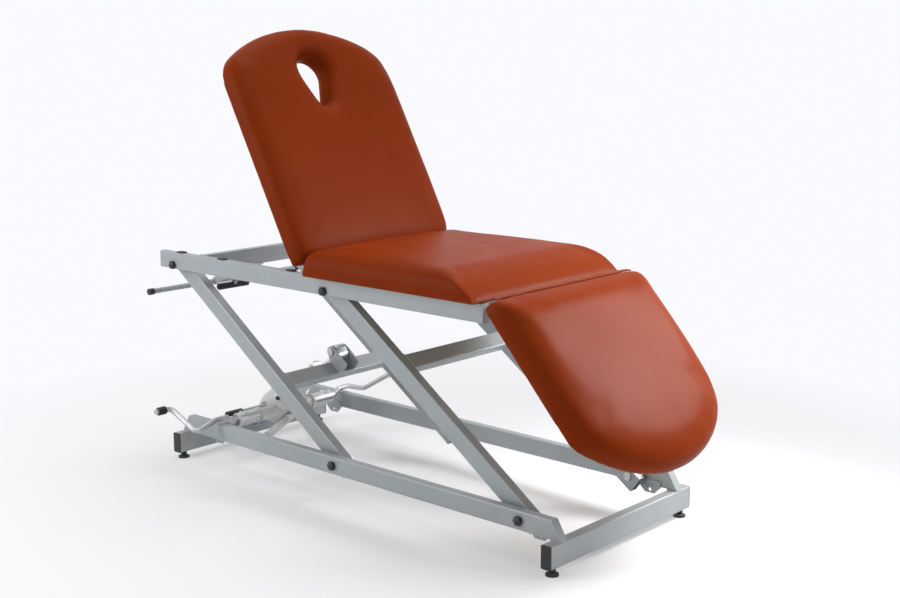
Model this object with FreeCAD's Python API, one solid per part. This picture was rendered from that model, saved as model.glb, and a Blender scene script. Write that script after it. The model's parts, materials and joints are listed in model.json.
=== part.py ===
import FreeCAD, Part
import math
import os

# Hydraulic examination table: X runs from the head end to the foot end, Y across, Z up.
# Sizes are in millimetres. X = 0 is the outer face of the head end's base tube, Y = 0 the near
# end of the base tubes and Z = 0 the floor. The finished pieces are then moved so that the
# origin lies on the floor below the middle of the whole object.

# Base frame
base_length = 1445.0
base_width = 600.0
cross_tube_depth = 30.0
cross_tube_height = 60.0
cross_tube_wall = 2.5
ground_clearance = 20.0
end_cap_thickness = 3.0
end_cap_plug = 15.0
rail_width = 25.0
rail_height = 50.0
rail_wall = 2.0
rail_inset = 38.0
rail_end_setback = 30.0
section_radius = 4.0

# Levelling feet
foot_inset = 25.0
foot_pad_radius = 16.5
foot_pad_height = 8.0
foot_stem_radius = 5.0
foot_nut_radius = 9.0
foot_stem_length = 25.0
foot_pad_taper = 3.0
foot_neck = 3.0

# Ear plates with one hole, inside the base rails
ear_head_x = 140.0
ear_foot_setback = 83.0
ear_half_length = 33.0
ear_thickness = 4.0
ear_drop = 19.0
ear_rise = 17.0
ear_hole_radius = 5.0
ear_hole_drop = 10.0

# Lift linkage
lower_pivot_x = 660.0
foot_pivot_setback = 129.0
upper_head_pivot_x = -18.0
arm_width = 30.0
arm_height = 50.0
arm_wall = 2.5
arm_gap = 8.0
arm_over_pivot = 18.5
arm_end = 30.0
pivot_radius = 8.0
pivot_head_radius = 12.0
pivot_head_height = 7.0
nut_radius = 13.0
nut_height = 8.0
nut_dome = 5.0
spacer_radius = 14.0
arm_tube_length = 50.0
arm_tube_depth = 25.0
head_arm_tube_start = 282.0
foot_arm_tube_start = 502.0
pin_head_height = 5.0
pin_head_margin = 3.0

# Upper frame
top_rail_z = 575.0
top_rail_start = -80.0
top_rail_end = 1200.0
top_tube_width = 25.0
top_head_tube_x = 78.0
top_mid_tube_x = 735.0
top_foot_tube_x = 1040.0
buffer_length = 28.0
buffer_height = 3.7
buffer_margin = 3.0
buffer_places = (10.0, 200.0, 497.0)

# Hinges of the backrest and of the leg section
back_hinge_x = 563.0
leg_hinge_x = 1225.0
hinge_drop = 3.0
hinge_radius = 9.0
hinge_ear_radius = 12.0
hinge_ear_thickness = 6.0
hinge_ear_reach = 60.0
hinge_ear_low = 10.0
strap_thickness = 3.5
strap_width = 30.0
strap_inset = 130.0
back_strap_length = 420.0
leg_strap_length = 300.0

# Upholstery
cushion_width = 620.0
cushion_thickness = 69.0
cushion_edge = 32.0
cushion_lower_edge = 9.0
board_thickness = 12.0
board_inset = 20.0
board_gap = 0.3
back_angle = 61.3
back_start = 14.7
back_end = 715.0
back_arch_radius = 539.0
back_corner_radius = 100.0
back_inner_edge = 20.0
leg_angle = 48.0
leg_start = 11.0
leg_end = 535.0
leg_arch_radius = 430.0
leg_corner_radius = 50.0
leg_inner_edge = 45.0
leg_flap_reach = 25.0
leg_flap_thickness = 4.0
leg_flap_rise = 22.0
seat_start = 600.0
seat_slant = 28.0
seat_slant_height = 44.0
seat_end = 1207.0
seat_flat_end = 1095.0
seat_back_step = 8.0
seat_back_drop = 12.0
seat_back_round = 25.0
nose_high_setback = 75.0
nose_high_drop = 10.0
nose_middle_setback = 42.0
nose_middle_drop = 26.0
nose_low_setback = 16.0
nose_low_drop = 54.0

# Teardrop breathing hole in the backrest
hole_top = 640.0
hole_bottom = 465.0
hole_top_radius = 60.0
hole_bottom_radius = 30.0

# Struts that hold the backrest and the leg section
strut_tube_radius = 11.0
strut_rod_radius = 5.0
strut_eye_radius = 11.0
strut_eye_width = 15.4
strut_pin_radius = 5.0
strut_bore_start = 14.0
plate_thickness = 5.0
plate_gap = 16.0
strut_neck_wall = 2.0
strut_pin_end = 4.0
bracket_low = 2.0
bracket_high = 8.0
leg_cross_half = 25.0
leg_lug_half = 20.0
back_strut_radius = 125.0
back_strut_frame_angle = -20.0
back_strut_lever_angle = -90.0
back_strut_tube = 118.0
back_strut_rod = 129.0
leg_strut_radius = 150.0
leg_strut_frame_angle = 200.0
leg_strut_lug_angle = -10.0
leg_strut_tube = 195.0
leg_strut_rod = 200.0

# Hydraulic lift cylinder
pump_offset = 6.0
pump_pivot_x = 60.0
pump_pivot_z = 78.0
cylinder_lag = 0.98319
eye_lead = 0.9552
pump_pin_radius = 6.0
pump_eye_radius = 15.0
pump_eye_width = 20.0
pump_neck_margin = 3.0
pump_web_drop = 34.0
pump_web_margin = 2.0
pump_web_toe = 4.0
pump_web_heel = 10.0
pump_disc_margin = 1.0
pump_pin_end = 6.0
casing_start = 40.0
casing_end = 200.0
casing_radius = 50.0
casing_neck_radius = 34.0
casing_back_step = 12.0
casing_back_length = 10.0
casing_swell = 4.0
casing_swell_length = 30.0
casing_shoulder = 55.0
casing_step = 5.0
casing_step_length = 40.0
casing_front_step = 9.0
casing_front_length = 12.0
casing_bore_start = 85.0
barrel_radius = 26.0
barrel_start = 150.0
barrel_end = 312.0
gland_length = 18.0
gland_radius = 29.0
gland_bevel_length = 4.0
gland_bevel = 6.0
rod_bore_play = 1.0
rod_radius = 7.0
rod_tail = 145.0
lift_pin_radius = 8.0
lift_pin_along = 346.0
lift_pin_over = 46.0
lug_thickness = 5.0
lug_gap = 44.0
lug_setback = 2.0
lug_foot_margin = 4.0
lug_heel_along = 10.0
lug_heel_drop = 12.0
lug_head_along = 6.0
lug_head_rise = 17.0
lug_front = 7.0
lug_front_rise = 14.0
lug_shoulder = 16.0
lift_pin_end = 8.0
lift_eye_play = 2.0
slot_travel = 8.7
slot_slack = 1.3
slot_wall = 7.0
link_start = -8.0
link_end = 123.0
link_width = 16.0
link_height = 20.0
link_bolt_head = 5.0

# Pump shaft and pedals
shaft_x = 168.0
shaft_z = 126.0
shaft_radius = 9.0
hub_radius = 21.0
hub_start = 107.0
hub_end = 189.7
hub_bevel = 2.0
hub_floor = 10.0
hub_slit = 2.0
shaft_end_room = 12.0
flange_radius = 24.0
flange_thickness = 7.0
boss_radius = 17.0
pedal_tube_radius = 8.0
pedal_root = 12.0
pedal_rail_clearance = 7.0
pedal_rail_overhang = 8.0
pedal_dip = 5.0
pedal_rail_rise = 17.5
pedal_low_y = -41.0
pedal_bend_x = 72.0
pedal_bend_y = -58.0
pedal_bend_z = 179.0
pedal_tip_y = -113.0
pedal_bend_radius = 16.0
grip_radius = 12.0
grip_groove = 1.5
grip_ribs = 5
grip_margin = 8.0
grip_end_gap = 4.0
grip_rib_rise = 0.2
grip_rib_crest = 0.7
grip_rib_fall = 0.8

# Release pedal
release_x = 120.0
release_z = 134.0
release_pad_radius = 9.0
release_start = 108.0
release_pad_length = 62.0
release_stem_radius = 5.0
release_reach = 59.0
release_pad_bevel = 3.0
release_pin_radius = 3.0
release_eye_radius = 8.0
release_ear_gap = 2.0
release_ear_thickness = 5.0
release_ear_sink = 12.0

# Roll bar at the head end
roll_bar_x = -95.5
roll_bar_z = 500.0
roll_bar_radius = 8.0
roll_cap_radius = 10.0
roll_cap_length = 18.0
roll_strap_spread = 50.0
roll_strap_thickness = 4.0
roll_strap_width = 20.0
roll_strap_overlap = 4.0
roll_cap_bevel = 2.0

# Release handle of the backrest
handle_y = 200.0
handle_half_length = 58.0
handle_x = 60.0
handle_z = 515.0
handle_radius = 10.0
handle_pivot_x = 90.0
handle_pivot_drop = 13.0
handle_arm_thickness = 8.0
handle_arm_width = 16.0
handle_pin_radius = 4.0
handle_ear_radius = 10.0
handle_pin_end = 2.0
handle_bevel = 3.0
handle_seat_share = 0.8

# Clearances
running_fit = 0.05
seat_fit = 0.1
face_gap = 0.3

# Values that follow from the sizes above
middle_y = base_width / 2
pump_y = middle_y + pump_offset
release_pivot_y = pump_y - release_reach
ear_foot_x = base_length - ear_foot_setback
lower_pivot_pitch = base_length - foot_pivot_setback - lower_pivot_x
rail_z = ground_clearance + cross_tube_height
lower_pivot_z = rail_z + rail_height / 2
upper_pivot_z = top_rail_z + 12.0
top_z = top_rail_z + rail_height
arm_run = lower_pivot_x - upper_head_pivot_x
arm_rise = upper_pivot_z - lower_pivot_z
arm_length = math.hypot(arm_run, arm_rise)
arm_angle = math.degrees(math.atan2(arm_rise, arm_run))
arm_turn = math.radians(arm_angle)
lift_pin_x = (lower_pivot_x - lift_pin_along * math.cos(arm_turn)
              + lift_pin_over * math.sin(arm_turn))
lift_pin_z = (lower_pivot_z + lift_pin_along * math.sin(arm_turn)
              + lift_pin_over * math.cos(arm_turn))
cylinder_run = lift_pin_x - pump_pivot_x
cylinder_rise = lift_pin_z - pump_pivot_z
cylinder_angle = math.degrees(math.atan2(cylinder_rise, cylinder_run)) - cylinder_lag
cylinder_length = math.hypot(cylinder_run, cylinder_rise) + eye_lead
arm_y = rail_inset + rail_width + arm_gap
inner_y = rail_inset + rail_width
hinge_z = top_z - hinge_drop
cushion_rise = hinge_drop + buffer_height + face_gap
cushion_z = hinge_z + cushion_rise
cushion_y = middle_y - cushion_width / 2
foot_pivot_x = lower_pivot_x + lower_pivot_pitch
upper_foot_pivot_x = upper_head_pivot_x + lower_pivot_pitch

pieces = {}


def point(x, y, z):
    return FreeCAD.Vector(x, y, z)


def box(x0, x1, y0, y1, z0, z1):
    return Part.makeBox(x1 - x0, y1 - y0, z1 - z0, point(x0, y0, z0))


def cylinder_y(x, z, radius, y0, y1):
    return Part.makeCylinder(radius, y1 - y0, point(x, y0, z), point(0, 1, 0))


def rounded_section(width, height, radius):
    """A rounded rectangle in the XY plane, centred on the origin."""
    a = width / 2
    b = height / 2
    k = radius * (1 - math.sqrt(0.5))
    edges = []
    for sx, sy, turn in ((1, 1, 0), (-1, 1, 1), (-1, -1, 0), (1, -1, 1)):
        on_side = point(sx * a, sy * (b - radius), 0)
        on_end = point(sx * (a - radius), sy * b, 0)
        middle = point(sx * (a - k), sy * (b - k), 0)
        first, last = (on_side, on_end) if turn == 0 else (on_end, on_side)
        edges.append((first, middle, last))
    wire = []
    for index, (first, middle, last) in enumerate(edges):
        wire.append(Part.Arc(first, middle, last).toShape())
        wire.append(Part.makeLine(last, edges[(index + 1) % 4][0]))
    return Part.Face(Part.Wire(wire))


def tube_along(axis, length, width, height, wall):
    """A hollow rectangular tube from the origin along X or Y, with width across and height up."""
    outer = rounded_section(width, height, section_radius)
    inner = rounded_section(width - 2 * wall, height - 2 * wall, section_radius - wall / 2)
    body = outer.cut(inner).extrude(point(0, 0, length))
    if axis == "x":
        body.rotate(point(0, 0, 0), point(1, 1, 1), 120)
    else:
        body.rotate(point(0, 0, 0), point(1, 0, 0), -90)
    return body


def moved(shape, x, y, z):
    copy = shape.copy()
    copy.translate(point(x, y, z))
    return copy


def tilted(shape, degrees, x, z):
    """A piece drawn flat with its pivot at the origin, turned about Y and set at its pivot."""
    copy = shape.copy()
    copy.rotate(point(0, 0, 0), point(0, 1, 0), degrees)
    copy.translate(point(x, 0, z))
    return copy


def other_side(shape):
    return shape.mirror(point(0, middle_y, 0), point(0, 1, 0))


def both_sides(shape):
    return [shape, other_side(shape)]


def profile_xz(points, y0, y1):
    corners = [point(x, y0, z) for x, z in points]
    face = Part.Face(Part.makePolygon(corners + corners[:1]))
    return face.extrude(point(0, y1 - y0, 0))


def fused(shapes):
    return shapes[0].multiFuse(shapes[1:]).removeSplitter()


def revolved_y(x, z, outline):
    """A turned piece about the Y line at (x, z); outline gives (y, radius) corners."""
    corners = [point(x + radius, y, z) for y, radius in outline]
    face = Part.Face(Part.makePolygon(corners + corners[:1]))
    return face.revolve(point(x, 0, z), point(0, 1, 0), 360)


def revolved_x(outline):
    """A turned piece about the X axis; outline gives (x, radius) corners."""
    corners = [point(x, 0, radius) for x, radius in outline]
    face = Part.Face(Part.makePolygon(corners + corners[:1]))
    return face.revolve(point(0, 0, 0), point(1, 0, 0), 360)


def save(name, shapes):
    pieces[name] = shapes if isinstance(shapes, list) else [shapes]


# Base cross tubes, with plastic caps in their ends
def base_cross_tube(x):
    length = base_width - 2 * end_cap_thickness
    tube = tube_along("y", length, cross_tube_depth, cross_tube_height, cross_tube_wall)
    tube = moved(tube, x + cross_tube_depth / 2, end_cap_thickness,
                 ground_clearance + cross_tube_height / 2)
    for y in (foot_inset, base_width - foot_inset):
        hole = Part.makeCylinder(foot_stem_radius + running_fit, cross_tube_wall * 2,
                                 point(x + cross_tube_depth / 2, y, ground_clearance - 1))
        tube = tube.cut(hole)
    return tube


def end_cap(x):
    plate = rounded_section(cross_tube_depth, cross_tube_height, section_radius)
    plate = plate.extrude(point(0, 0, end_cap_thickness))
    shrink = 2 * (cross_tube_wall + seat_fit)
    plug = rounded_section(cross_tube_depth - shrink, cross_tube_height - shrink,
                           section_radius - cross_tube_wall / 2)
    plug = plug.extrude(point(0, 0, end_cap_plug))
    room = Part.makeCylinder(foot_stem_radius + 1, cross_tube_height,
                             point(0, -cross_tube_height / 2, foot_inset), point(0, 1, 0))
    cap = plate.fuse(plug).cut(room).removeSplitter()
    cap.rotate(point(0, 0, 0), point(1, 0, 0), -90)
    return moved(cap, x + cross_tube_depth / 2, 0, ground_clearance + cross_tube_height / 2)


# Closed rails with bolt holes: the slanted pair of the base and the square pair on top
def rail(x0, x1, z0, setback, pivots):
    outline = [(x0, z0), (x1, z0), (x1 - setback, z0 + rail_height),
               (x0 + setback, z0 + rail_height)]
    tube = tube_along("x", x1 - x0, rail_width, rail_height, rail_wall)
    tube = moved(tube, x0, rail_inset + rail_width / 2, z0 + rail_height / 2)
    body = tube.common(profile_xz(outline, rail_inset, inner_y))
    lean = setback / rail_height
    ends = []
    for x, side in ((x0, 1), (x1, -1)):
        near_z = z0 + rail_wall
        far_z = z0 + rail_height - rail_wall
        low = x + side * lean * rail_wall
        high = x + side * lean * (rail_height - rail_wall)
        thick = side * rail_wall * 1.5
        plate = [(low, near_z), (low + thick, near_z), (high + thick, far_z), (high, far_z)]
        ends.append(profile_xz(plate, rail_inset + rail_wall, inner_y - rail_wall))
    body = fused([body] + ends)
    for x, z in pivots:
        body = body.cut(cylinder_y(x, z, pivot_radius + seat_fit, rail_inset - 1, inner_y + 1))
    return body


def ear_plate(x):
    low = rail_z - ear_drop
    plate = box(x - ear_half_length, x + ear_half_length, inner_y, inner_y + ear_thickness,
                low, rail_z + ear_rise)
    lower_edges = [edge for edge in plate.Edges
                   if edge.BoundBox.ZMax < low + 1 and edge.BoundBox.YLength > 1]
    plate = plate.makeChamfer(ear_drop - 1, lower_edges)
    hole = cylinder_y(x, rail_z - ear_hole_drop, ear_hole_radius, inner_y - 1,
                      inner_y + ear_thickness + 1)
    return plate.cut(hole)


# One levelling foot: pad, lock nut and threaded stem turned as one piece
def levelling_foot(x, y):
    nut_top = ground_clearance - face_gap
    nut_low = foot_pad_height + foot_neck
    outline = [(0, 0), (foot_pad_radius, 0), (foot_pad_radius, foot_pad_height - foot_pad_taper),
               (foot_nut_radius, foot_pad_height), (foot_stem_radius, foot_pad_height),
               (foot_stem_radius, nut_low), (foot_nut_radius, nut_low),
               (foot_nut_radius, nut_top), (foot_stem_radius, nut_top),
               (foot_stem_radius, nut_top + foot_stem_length), (0, nut_top + foot_stem_length)]
    corners = [point(radius, 0, z) for radius, z in outline]
    face = Part.Face(Part.makePolygon(corners + corners[:1]))
    foot = face.revolve(point(0, 0, 0), point(0, 0, 1), 360)
    return moved(foot, x, y, 0)


# Pivot bolt of an arm, its spacer against the rail and its domed cap nut
def pivot_bolt(x, z):
    inner = arm_y + arm_width + face_gap
    shank = cylinder_y(x, z, pivot_radius, rail_inset, inner)
    hexagon = [(x + pivot_head_radius * math.cos(math.radians(60 * k)),
                z + pivot_head_radius * math.sin(math.radians(60 * k))) for k in range(6)]
    return fused([shank, profile_xz(hexagon, inner, inner + pivot_head_height)])


def cap_nut(x, z):
    hexagon = [(x + nut_radius * math.cos(math.radians(60 * k)),
                z + nut_radius * math.sin(math.radians(60 * k))) for k in range(6)]
    nut = profile_xz(hexagon, rail_inset - nut_height, rail_inset)
    dome_radius = nut_radius * 0.8
    sphere_radius = (dome_radius ** 2 + nut_dome ** 2) / (2 * nut_dome)
    centre_y = rail_inset - nut_height - nut_dome + sphere_radius
    dome = Part.makeSphere(sphere_radius, point(x, centre_y, z))
    dome = dome.common(box(x - nut_radius, x + nut_radius, rail_inset - nut_height - nut_dome - 1,
                           rail_inset - nut_height, z - nut_radius, z + nut_radius))
    return fused([nut, dome])


def spacer(x, z):
    ring = cylinder_y(x, z, spacer_radius, inner_y, arm_y - face_gap)
    return ring.cut(cylinder_y(x, z, pivot_radius + seat_fit, inner_y - 1, arm_y + 1))


def pivot_set(prefix, pivots):
    bolts = []
    nuts = []
    rings = []
    for x, z in pivots:
        bolts += both_sides(pivot_bolt(x, z))
        nuts += both_sides(cap_nut(x, z))
        rings += both_sides(spacer(x, z))
    save(prefix + "_pivot_bolts", bolts)
    save(prefix + "_cap_nuts", nuts)
    save(prefix + "_pivot_spacers", rings)


def build_base():
    save("base_head_tube", base_cross_tube(0))
    save("base_foot_tube", base_cross_tube(base_length - cross_tube_depth))
    caps = both_sides(end_cap(0)) + both_sides(end_cap(base_length - cross_tube_depth))
    save("base_end_caps", caps)
    pivots = [(lower_pivot_x, lower_pivot_z), (foot_pivot_x, lower_pivot_z)]
    near = rail(0, base_length, rail_z, rail_end_setback, pivots)
    near = fused([near, ear_plate(ear_head_x), ear_plate(ear_foot_x)])
    save("base_rail_near", near)
    save("base_rail_far", other_side(near))
    pivot_set("base", pivots)
    corner = 0
    for x in (cross_tube_depth / 2, base_length - cross_tube_depth / 2):
        for y in (foot_inset, base_width - foot_inset):
            corner += 1
            save("levelling_foot_%d" % corner, levelling_foot(x, y))


def headed_pin(x, z, radius, centre_y, half, end):
    """A pin with a flat head on its near end, through plates that end at the given half width."""
    near = centre_y - half
    far = centre_y + half + end
    head = radius + pin_head_margin
    return revolved_y(x, z, [
        (near - pin_head_height, 0), (near - pin_head_height, head), (near, head),
        (near, radius), (far, radius), (far, 0)])


# Two-plate bracket on the head tube that carries the foot of the hydraulic cylinder
def build_pump_bracket():
    x0 = cross_tube_depth
    half = pump_eye_width / 2 + face_gap
    plates = []
    for side in (-1, 1):
        y0 = pump_y + side * half
        y1 = pump_y + side * (half + plate_thickness)
        low, high = min(y0, y1), max(y0, y1)
        disc_radius = pump_eye_radius - pump_disc_margin
        web = profile_xz([(x0, pump_pivot_z - pump_web_drop), (x0, rail_z - pump_web_margin),
                          (pump_pivot_x, pump_pivot_z + disc_radius),
                          (pump_pivot_x + pump_eye_radius - pump_web_toe,
                           pump_pivot_z - pump_web_heel)], low, high)
        disc = cylinder_y(pump_pivot_x, pump_pivot_z, disc_radius, low, high)
        hole = cylinder_y(pump_pivot_x, pump_pivot_z, pump_pin_radius + seat_fit, low - 1, high + 1)
        plates.append(fused([web, disc]).cut(hole))
    outer = half + plate_thickness
    pin = headed_pin(pump_pivot_x, pump_pivot_z, pump_pin_radius, pump_y, outer, pump_pin_end)
    save("pump_bracket", plates + [pin])


# Arm pairs of the lift, drawn flat with the lower pivot at the origin and the arm along -X
def lift_arm():
    length = arm_length + 2 * arm_end
    tube = tube_along("x", length, arm_width, arm_height, arm_wall)
    centre_z = arm_over_pivot - arm_height / 2
    tube = moved(tube, -arm_length - arm_end, arm_y + arm_width / 2, centre_z)
    for x in (0, -arm_length):
        tube = tube.cut(cylinder_y(x, 0, pivot_radius + running_fit, arm_y - 1,
                                   arm_y + arm_width + 1))
    return tube


def arm_cross_tube(start):
    y0 = arm_y + arm_width
    tube = tube_along("y", base_width - 2 * y0, arm_tube_length, arm_tube_depth, arm_wall)
    return moved(tube, -start - arm_tube_length / 2, y0, arm_over_pivot - arm_tube_depth / 2)


def lift_lug(side):
    y0 = pump_y + side * lug_gap / 2
    y1 = pump_y + side * (lug_gap / 2 + lug_thickness)
    low, high = min(y0, y1), max(y0, y1)
    toe = -head_arm_tube_start - lug_setback
    web = profile_xz([(toe, arm_over_pivot),
                      (toe - arm_tube_length + lug_foot_margin, arm_over_pivot),
                      (-lift_pin_along - lug_heel_along, lift_pin_over - lug_heel_drop),
                      (-lift_pin_along + lug_head_along, lift_pin_over + lug_head_rise),
                      (toe + lug_front, lift_pin_over + lug_front_rise),
                      (toe + lug_front, arm_over_pivot + lug_shoulder)], low, high)
    disc = cylinder_y(-lift_pin_along, lift_pin_over, lift_pin_radius * 2, low, high)
    hole = cylinder_y(-lift_pin_along, lift_pin_over, lift_pin_radius + seat_fit,
                      low - 1, high + 1)
    return fused([web, disc]).cut(hole)


def lift_pin():
    outer = lug_gap / 2 + lug_thickness
    return headed_pin(-lift_pin_along, lift_pin_over, lift_pin_radius, pump_y, outer,
                      lift_pin_end)


def build_lift_arms():
    for prefix, pivot_x, start in (("head", lower_pivot_x, head_arm_tube_start),
                                   ("foot", foot_pivot_x, foot_arm_tube_start)):
        near = tilted(lift_arm(), arm_angle, pivot_x, lower_pivot_z)
        save(prefix + "_arm_near", near)
        save(prefix + "_arm_far", other_side(near))
        tube = tilted(arm_cross_tube(start), arm_angle, pivot_x, lower_pivot_z)
        save(prefix + "_arm_tube", tube)
    lugs = [tilted(lift_lug(side), arm_angle, lower_pivot_x, lower_pivot_z) for side in (-1, 1)]
    save("lift_lugs", lugs)
    save("lift_pin", tilted(lift_pin(), arm_angle, lower_pivot_x, lower_pivot_z))


# Upper frame: rails, cross tubes, rubber buffers and hinge ears
def top_cross_tube(x):
    tube = tube_along("y", base_width - 2 * inner_y, top_tube_width, rail_height, rail_wall)
    return moved(tube, x + top_tube_width / 2, inner_y, top_rail_z + rail_height / 2)


def rail_buffer(x):
    pad = box(x - buffer_length / 2, x + buffer_length / 2, rail_inset + buffer_margin,
              inner_y - buffer_margin, top_z, top_z + buffer_height)
    upright = [edge for edge in pad.Edges if edge.BoundBox.ZLength > 1]
    return pad.makeFillet(buffer_margin, upright)


def hinge_ear(hinge_x, root_x):
    """A plate on the rail's inner face that carries one end of a hinge tube."""
    y1 = inner_y + hinge_ear_thickness
    low = top_rail_z + hinge_ear_low
    web = profile_xz([(root_x - hinge_ear_reach / 2, low), (root_x + hinge_ear_reach / 2, low),
                      (hinge_x + hinge_ear_radius, hinge_z), (hinge_x - hinge_ear_radius, hinge_z)],
                     inner_y, y1)
    disc = cylinder_y(hinge_x, hinge_z, hinge_ear_radius, inner_y, y1)
    hole = cylinder_y(hinge_x, hinge_z, hinge_radius + running_fit, inner_y - 1, y1 + 1)
    return fused([web, disc]).cut(hole)


def build_upper_frame():
    pivots = [(upper_head_pivot_x, upper_pivot_z), (upper_foot_pivot_x, upper_pivot_z)]
    near = rail(top_rail_start, top_rail_end, top_rail_z, 0, pivots)
    save("top_rail_near", near)
    save("top_rail_far", other_side(near))
    save("top_cross_tubes", [top_cross_tube(x) for x in
                             (top_head_tube_x, top_mid_tube_x, top_foot_tube_x)])
    buffers = []
    for x in buffer_places:
        buffers += both_sides(rail_buffer(x))
    save("rail_buffers", buffers)
    pivot_set("top", pivots)
    leg_root = top_rail_end - hinge_ear_reach / 2
    save("hinge_ears", both_sides(hinge_ear(back_hinge_x, back_hinge_x))
         + both_sides(hinge_ear(leg_hinge_x, leg_root)))


# Upholstered boards, drawn flat with the hinge line at the origin
def arched_outline(start, end, width, arch, corner, z):
    """A board with a square inner end and an arched outer end, with two round corners."""
    half = width / 2
    centre_x = end - arch
    corner_x = centre_x + math.sqrt((arch - corner) ** 2 - (half - corner) ** 2)
    angle = math.atan2(half - corner, corner_x - centre_x)
    meet_x = centre_x + arch * math.cos(angle)
    meet_y = arch * math.sin(angle)
    turn = (angle + math.pi / 2) / 2
    mid_x = corner_x + corner * math.cos(turn)
    mid_y = half - corner + corner * math.sin(turn)
    edges = [
        Part.makeLine(point(start, half, z), point(start, -half, z)),
        Part.makeLine(point(start, -half, z), point(corner_x, -half, z)),
        Part.Arc(point(corner_x, -half, z), point(mid_x, -mid_y, z),
                 point(meet_x, -meet_y, z)).toShape(),
        Part.Arc(point(meet_x, -meet_y, z), point(end, 0, z), point(meet_x, meet_y, z)).toShape(),
        Part.Arc(point(meet_x, meet_y, z), point(mid_x, mid_y, z),
                 point(corner_x, half, z)).toShape(),
        Part.makeLine(point(corner_x, half, z), point(start, half, z))]
    return Part.Face(Part.Wire(edges))


def round_edges(body, z, radius, skip_x=None):
    edges = []
    for edge in body.Edges:
        bound = edge.BoundBox
        level = abs(bound.ZMin - z) < 0.1 and abs(bound.ZMax - z) < 0.1
        skipped = skip_x is not None and abs(bound.XMax - skip_x) < 0.1 and bound.XLength < 0.1
        if level and not skipped:
            edges.append(edge)
    return body.makeFillet(radius, edges)


def inner_end_block(start, end, low, high, edge_radius):
    """The whole length of a cushion, with the upper edge of its inner end rounded."""
    corner = edge_radius * (1 - math.sqrt(0.5))
    y = -cushion_width
    outline = [
        Part.makeLine(point(start, y, low), point(start, y, high - edge_radius)),
        Part.Arc(point(start, y, high - edge_radius), point(start + corner, y, high - corner),
                 point(start + edge_radius, y, high)).toShape(),
        Part.makeLine(point(start + edge_radius, y, high), point(end, y, high)),
        Part.makeLine(point(end, y, high), point(end, y, low)),
        Part.makeLine(point(end, y, low), point(start, y, low))]
    return Part.Face(Part.Wire(outline)).extrude(point(0, 2 * cushion_width, 0))


def cushion_and_board(start, end, arch, corner, inner_edge):
    """A cushion with its board let into the underside, both centred on Y = 0."""
    low = cushion_rise
    high = cushion_rise + cushion_thickness
    cushion = arched_outline(start, end, cushion_width, arch, corner, low)
    cushion = cushion.extrude(point(0, 0, cushion_thickness))
    cushion = round_edges(cushion, low, cushion_lower_edge)
    cushion = round_edges(cushion, high, cushion_edge, skip_x=start)
    cushion = cushion.common(inner_end_block(start, end, low, high, inner_edge))
    inset = board_inset
    pocket = arched_outline(start + inset - board_gap, end - inset + board_gap,
                            cushion_width - 2 * (inset - board_gap), arch - inset + board_gap,
                            corner - inset + board_gap, low - 1)
    pocket = pocket.extrude(point(0, 0, board_thickness + 1 + board_gap))
    board = arched_outline(start + inset, end - inset, cushion_width - 2 * inset,
                           arch - inset, corner - inset, low)
    board = board.extrude(point(0, 0, board_thickness))
    return cushion.cut(pocket), board


def face_hole(extra):
    """The teardrop hole: a wide round top end that narrows to a small round lower end."""
    top_x = hole_top - hole_top_radius
    low_x = hole_bottom + hole_bottom_radius
    big = hole_top_radius + extra
    small = hole_bottom_radius + extra
    angle = math.acos((big - small) / (top_x - low_x))
    big_x = top_x - big * math.cos(angle)
    big_y = big * math.sin(angle)
    small_x = low_x - small * math.cos(angle)
    small_y = small * math.sin(angle)
    edges = [
        Part.makeLine(point(small_x, small_y, 0), point(big_x, big_y, 0)),
        Part.Arc(point(big_x, big_y, 0), point(top_x + big, 0, 0),
                 point(big_x, -big_y, 0)).toShape(),
        Part.makeLine(point(big_x, -big_y, 0), point(small_x, -small_y, 0)),
        Part.Arc(point(small_x, -small_y, 0), point(low_x - small, 0, 0),
                 point(small_x, small_y, 0)).toShape()]
    face = Part.Face(Part.Wire(edges))
    return face.extrude(point(0, 0, cushion_rise + cushion_thickness + 1))


def turned_to_head(shape):
    """A board drawn towards the foot end, turned about the vertical to point to the head end."""
    copy = shape.copy()
    copy.rotate(point(0, 0, 0), point(0, 0, 1), 180)
    copy.translate(point(0, middle_y, 0))
    return copy


def hinge_tube():
    return cylinder_y(0, 0, hinge_radius, inner_y + face_gap, base_width - inner_y - face_gap)


def hinge_strap(x0, x1, y):
    high = cushion_rise
    return box(x0, x1, y - strap_width / 2, y + strap_width / 2, high - strap_thickness, high)


def build_backrest():
    cushion, board = cushion_and_board(back_start, back_end, back_arch_radius,
                                       back_corner_radius, back_inner_edge)
    cushion = cushion.cut(face_hole(0))
    board = board.cut(face_hole(board_gap))
    for name, shape in (("back_cushion", cushion), ("back_board", board)):
        save(name, tilted(turned_to_head(shape), back_angle, back_hinge_x, hinge_z))
    straps = [hinge_strap(-back_strap_length, 0, y)
              for y in (strap_inset, base_width - strap_inset)]
    levers = [pin_plate(0, 0, hinge_radius, back_strut_radius, back_strut_lever_angle, side)
              for side in (-1, 1)]
    frame = fused([hinge_tube()] + straps + levers)
    pin = strut_pin(*polar(0, 0, back_strut_radius, back_strut_lever_angle))
    save("back_hinge_frame", [tilted(shape, back_angle, back_hinge_x, hinge_z)
                              for shape in (frame, pin)])


# Pin plates and telescoping struts
def polar(x, z, radius, degrees):
    angle = math.radians(degrees)
    return x + radius * math.cos(angle), z + radius * math.sin(angle)


def plate_sides(side):
    y0 = middle_y + side * plate_gap / 2
    y1 = middle_y + side * (plate_gap / 2 + plate_thickness)
    return min(y0, y1), max(y0, y1)


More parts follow.
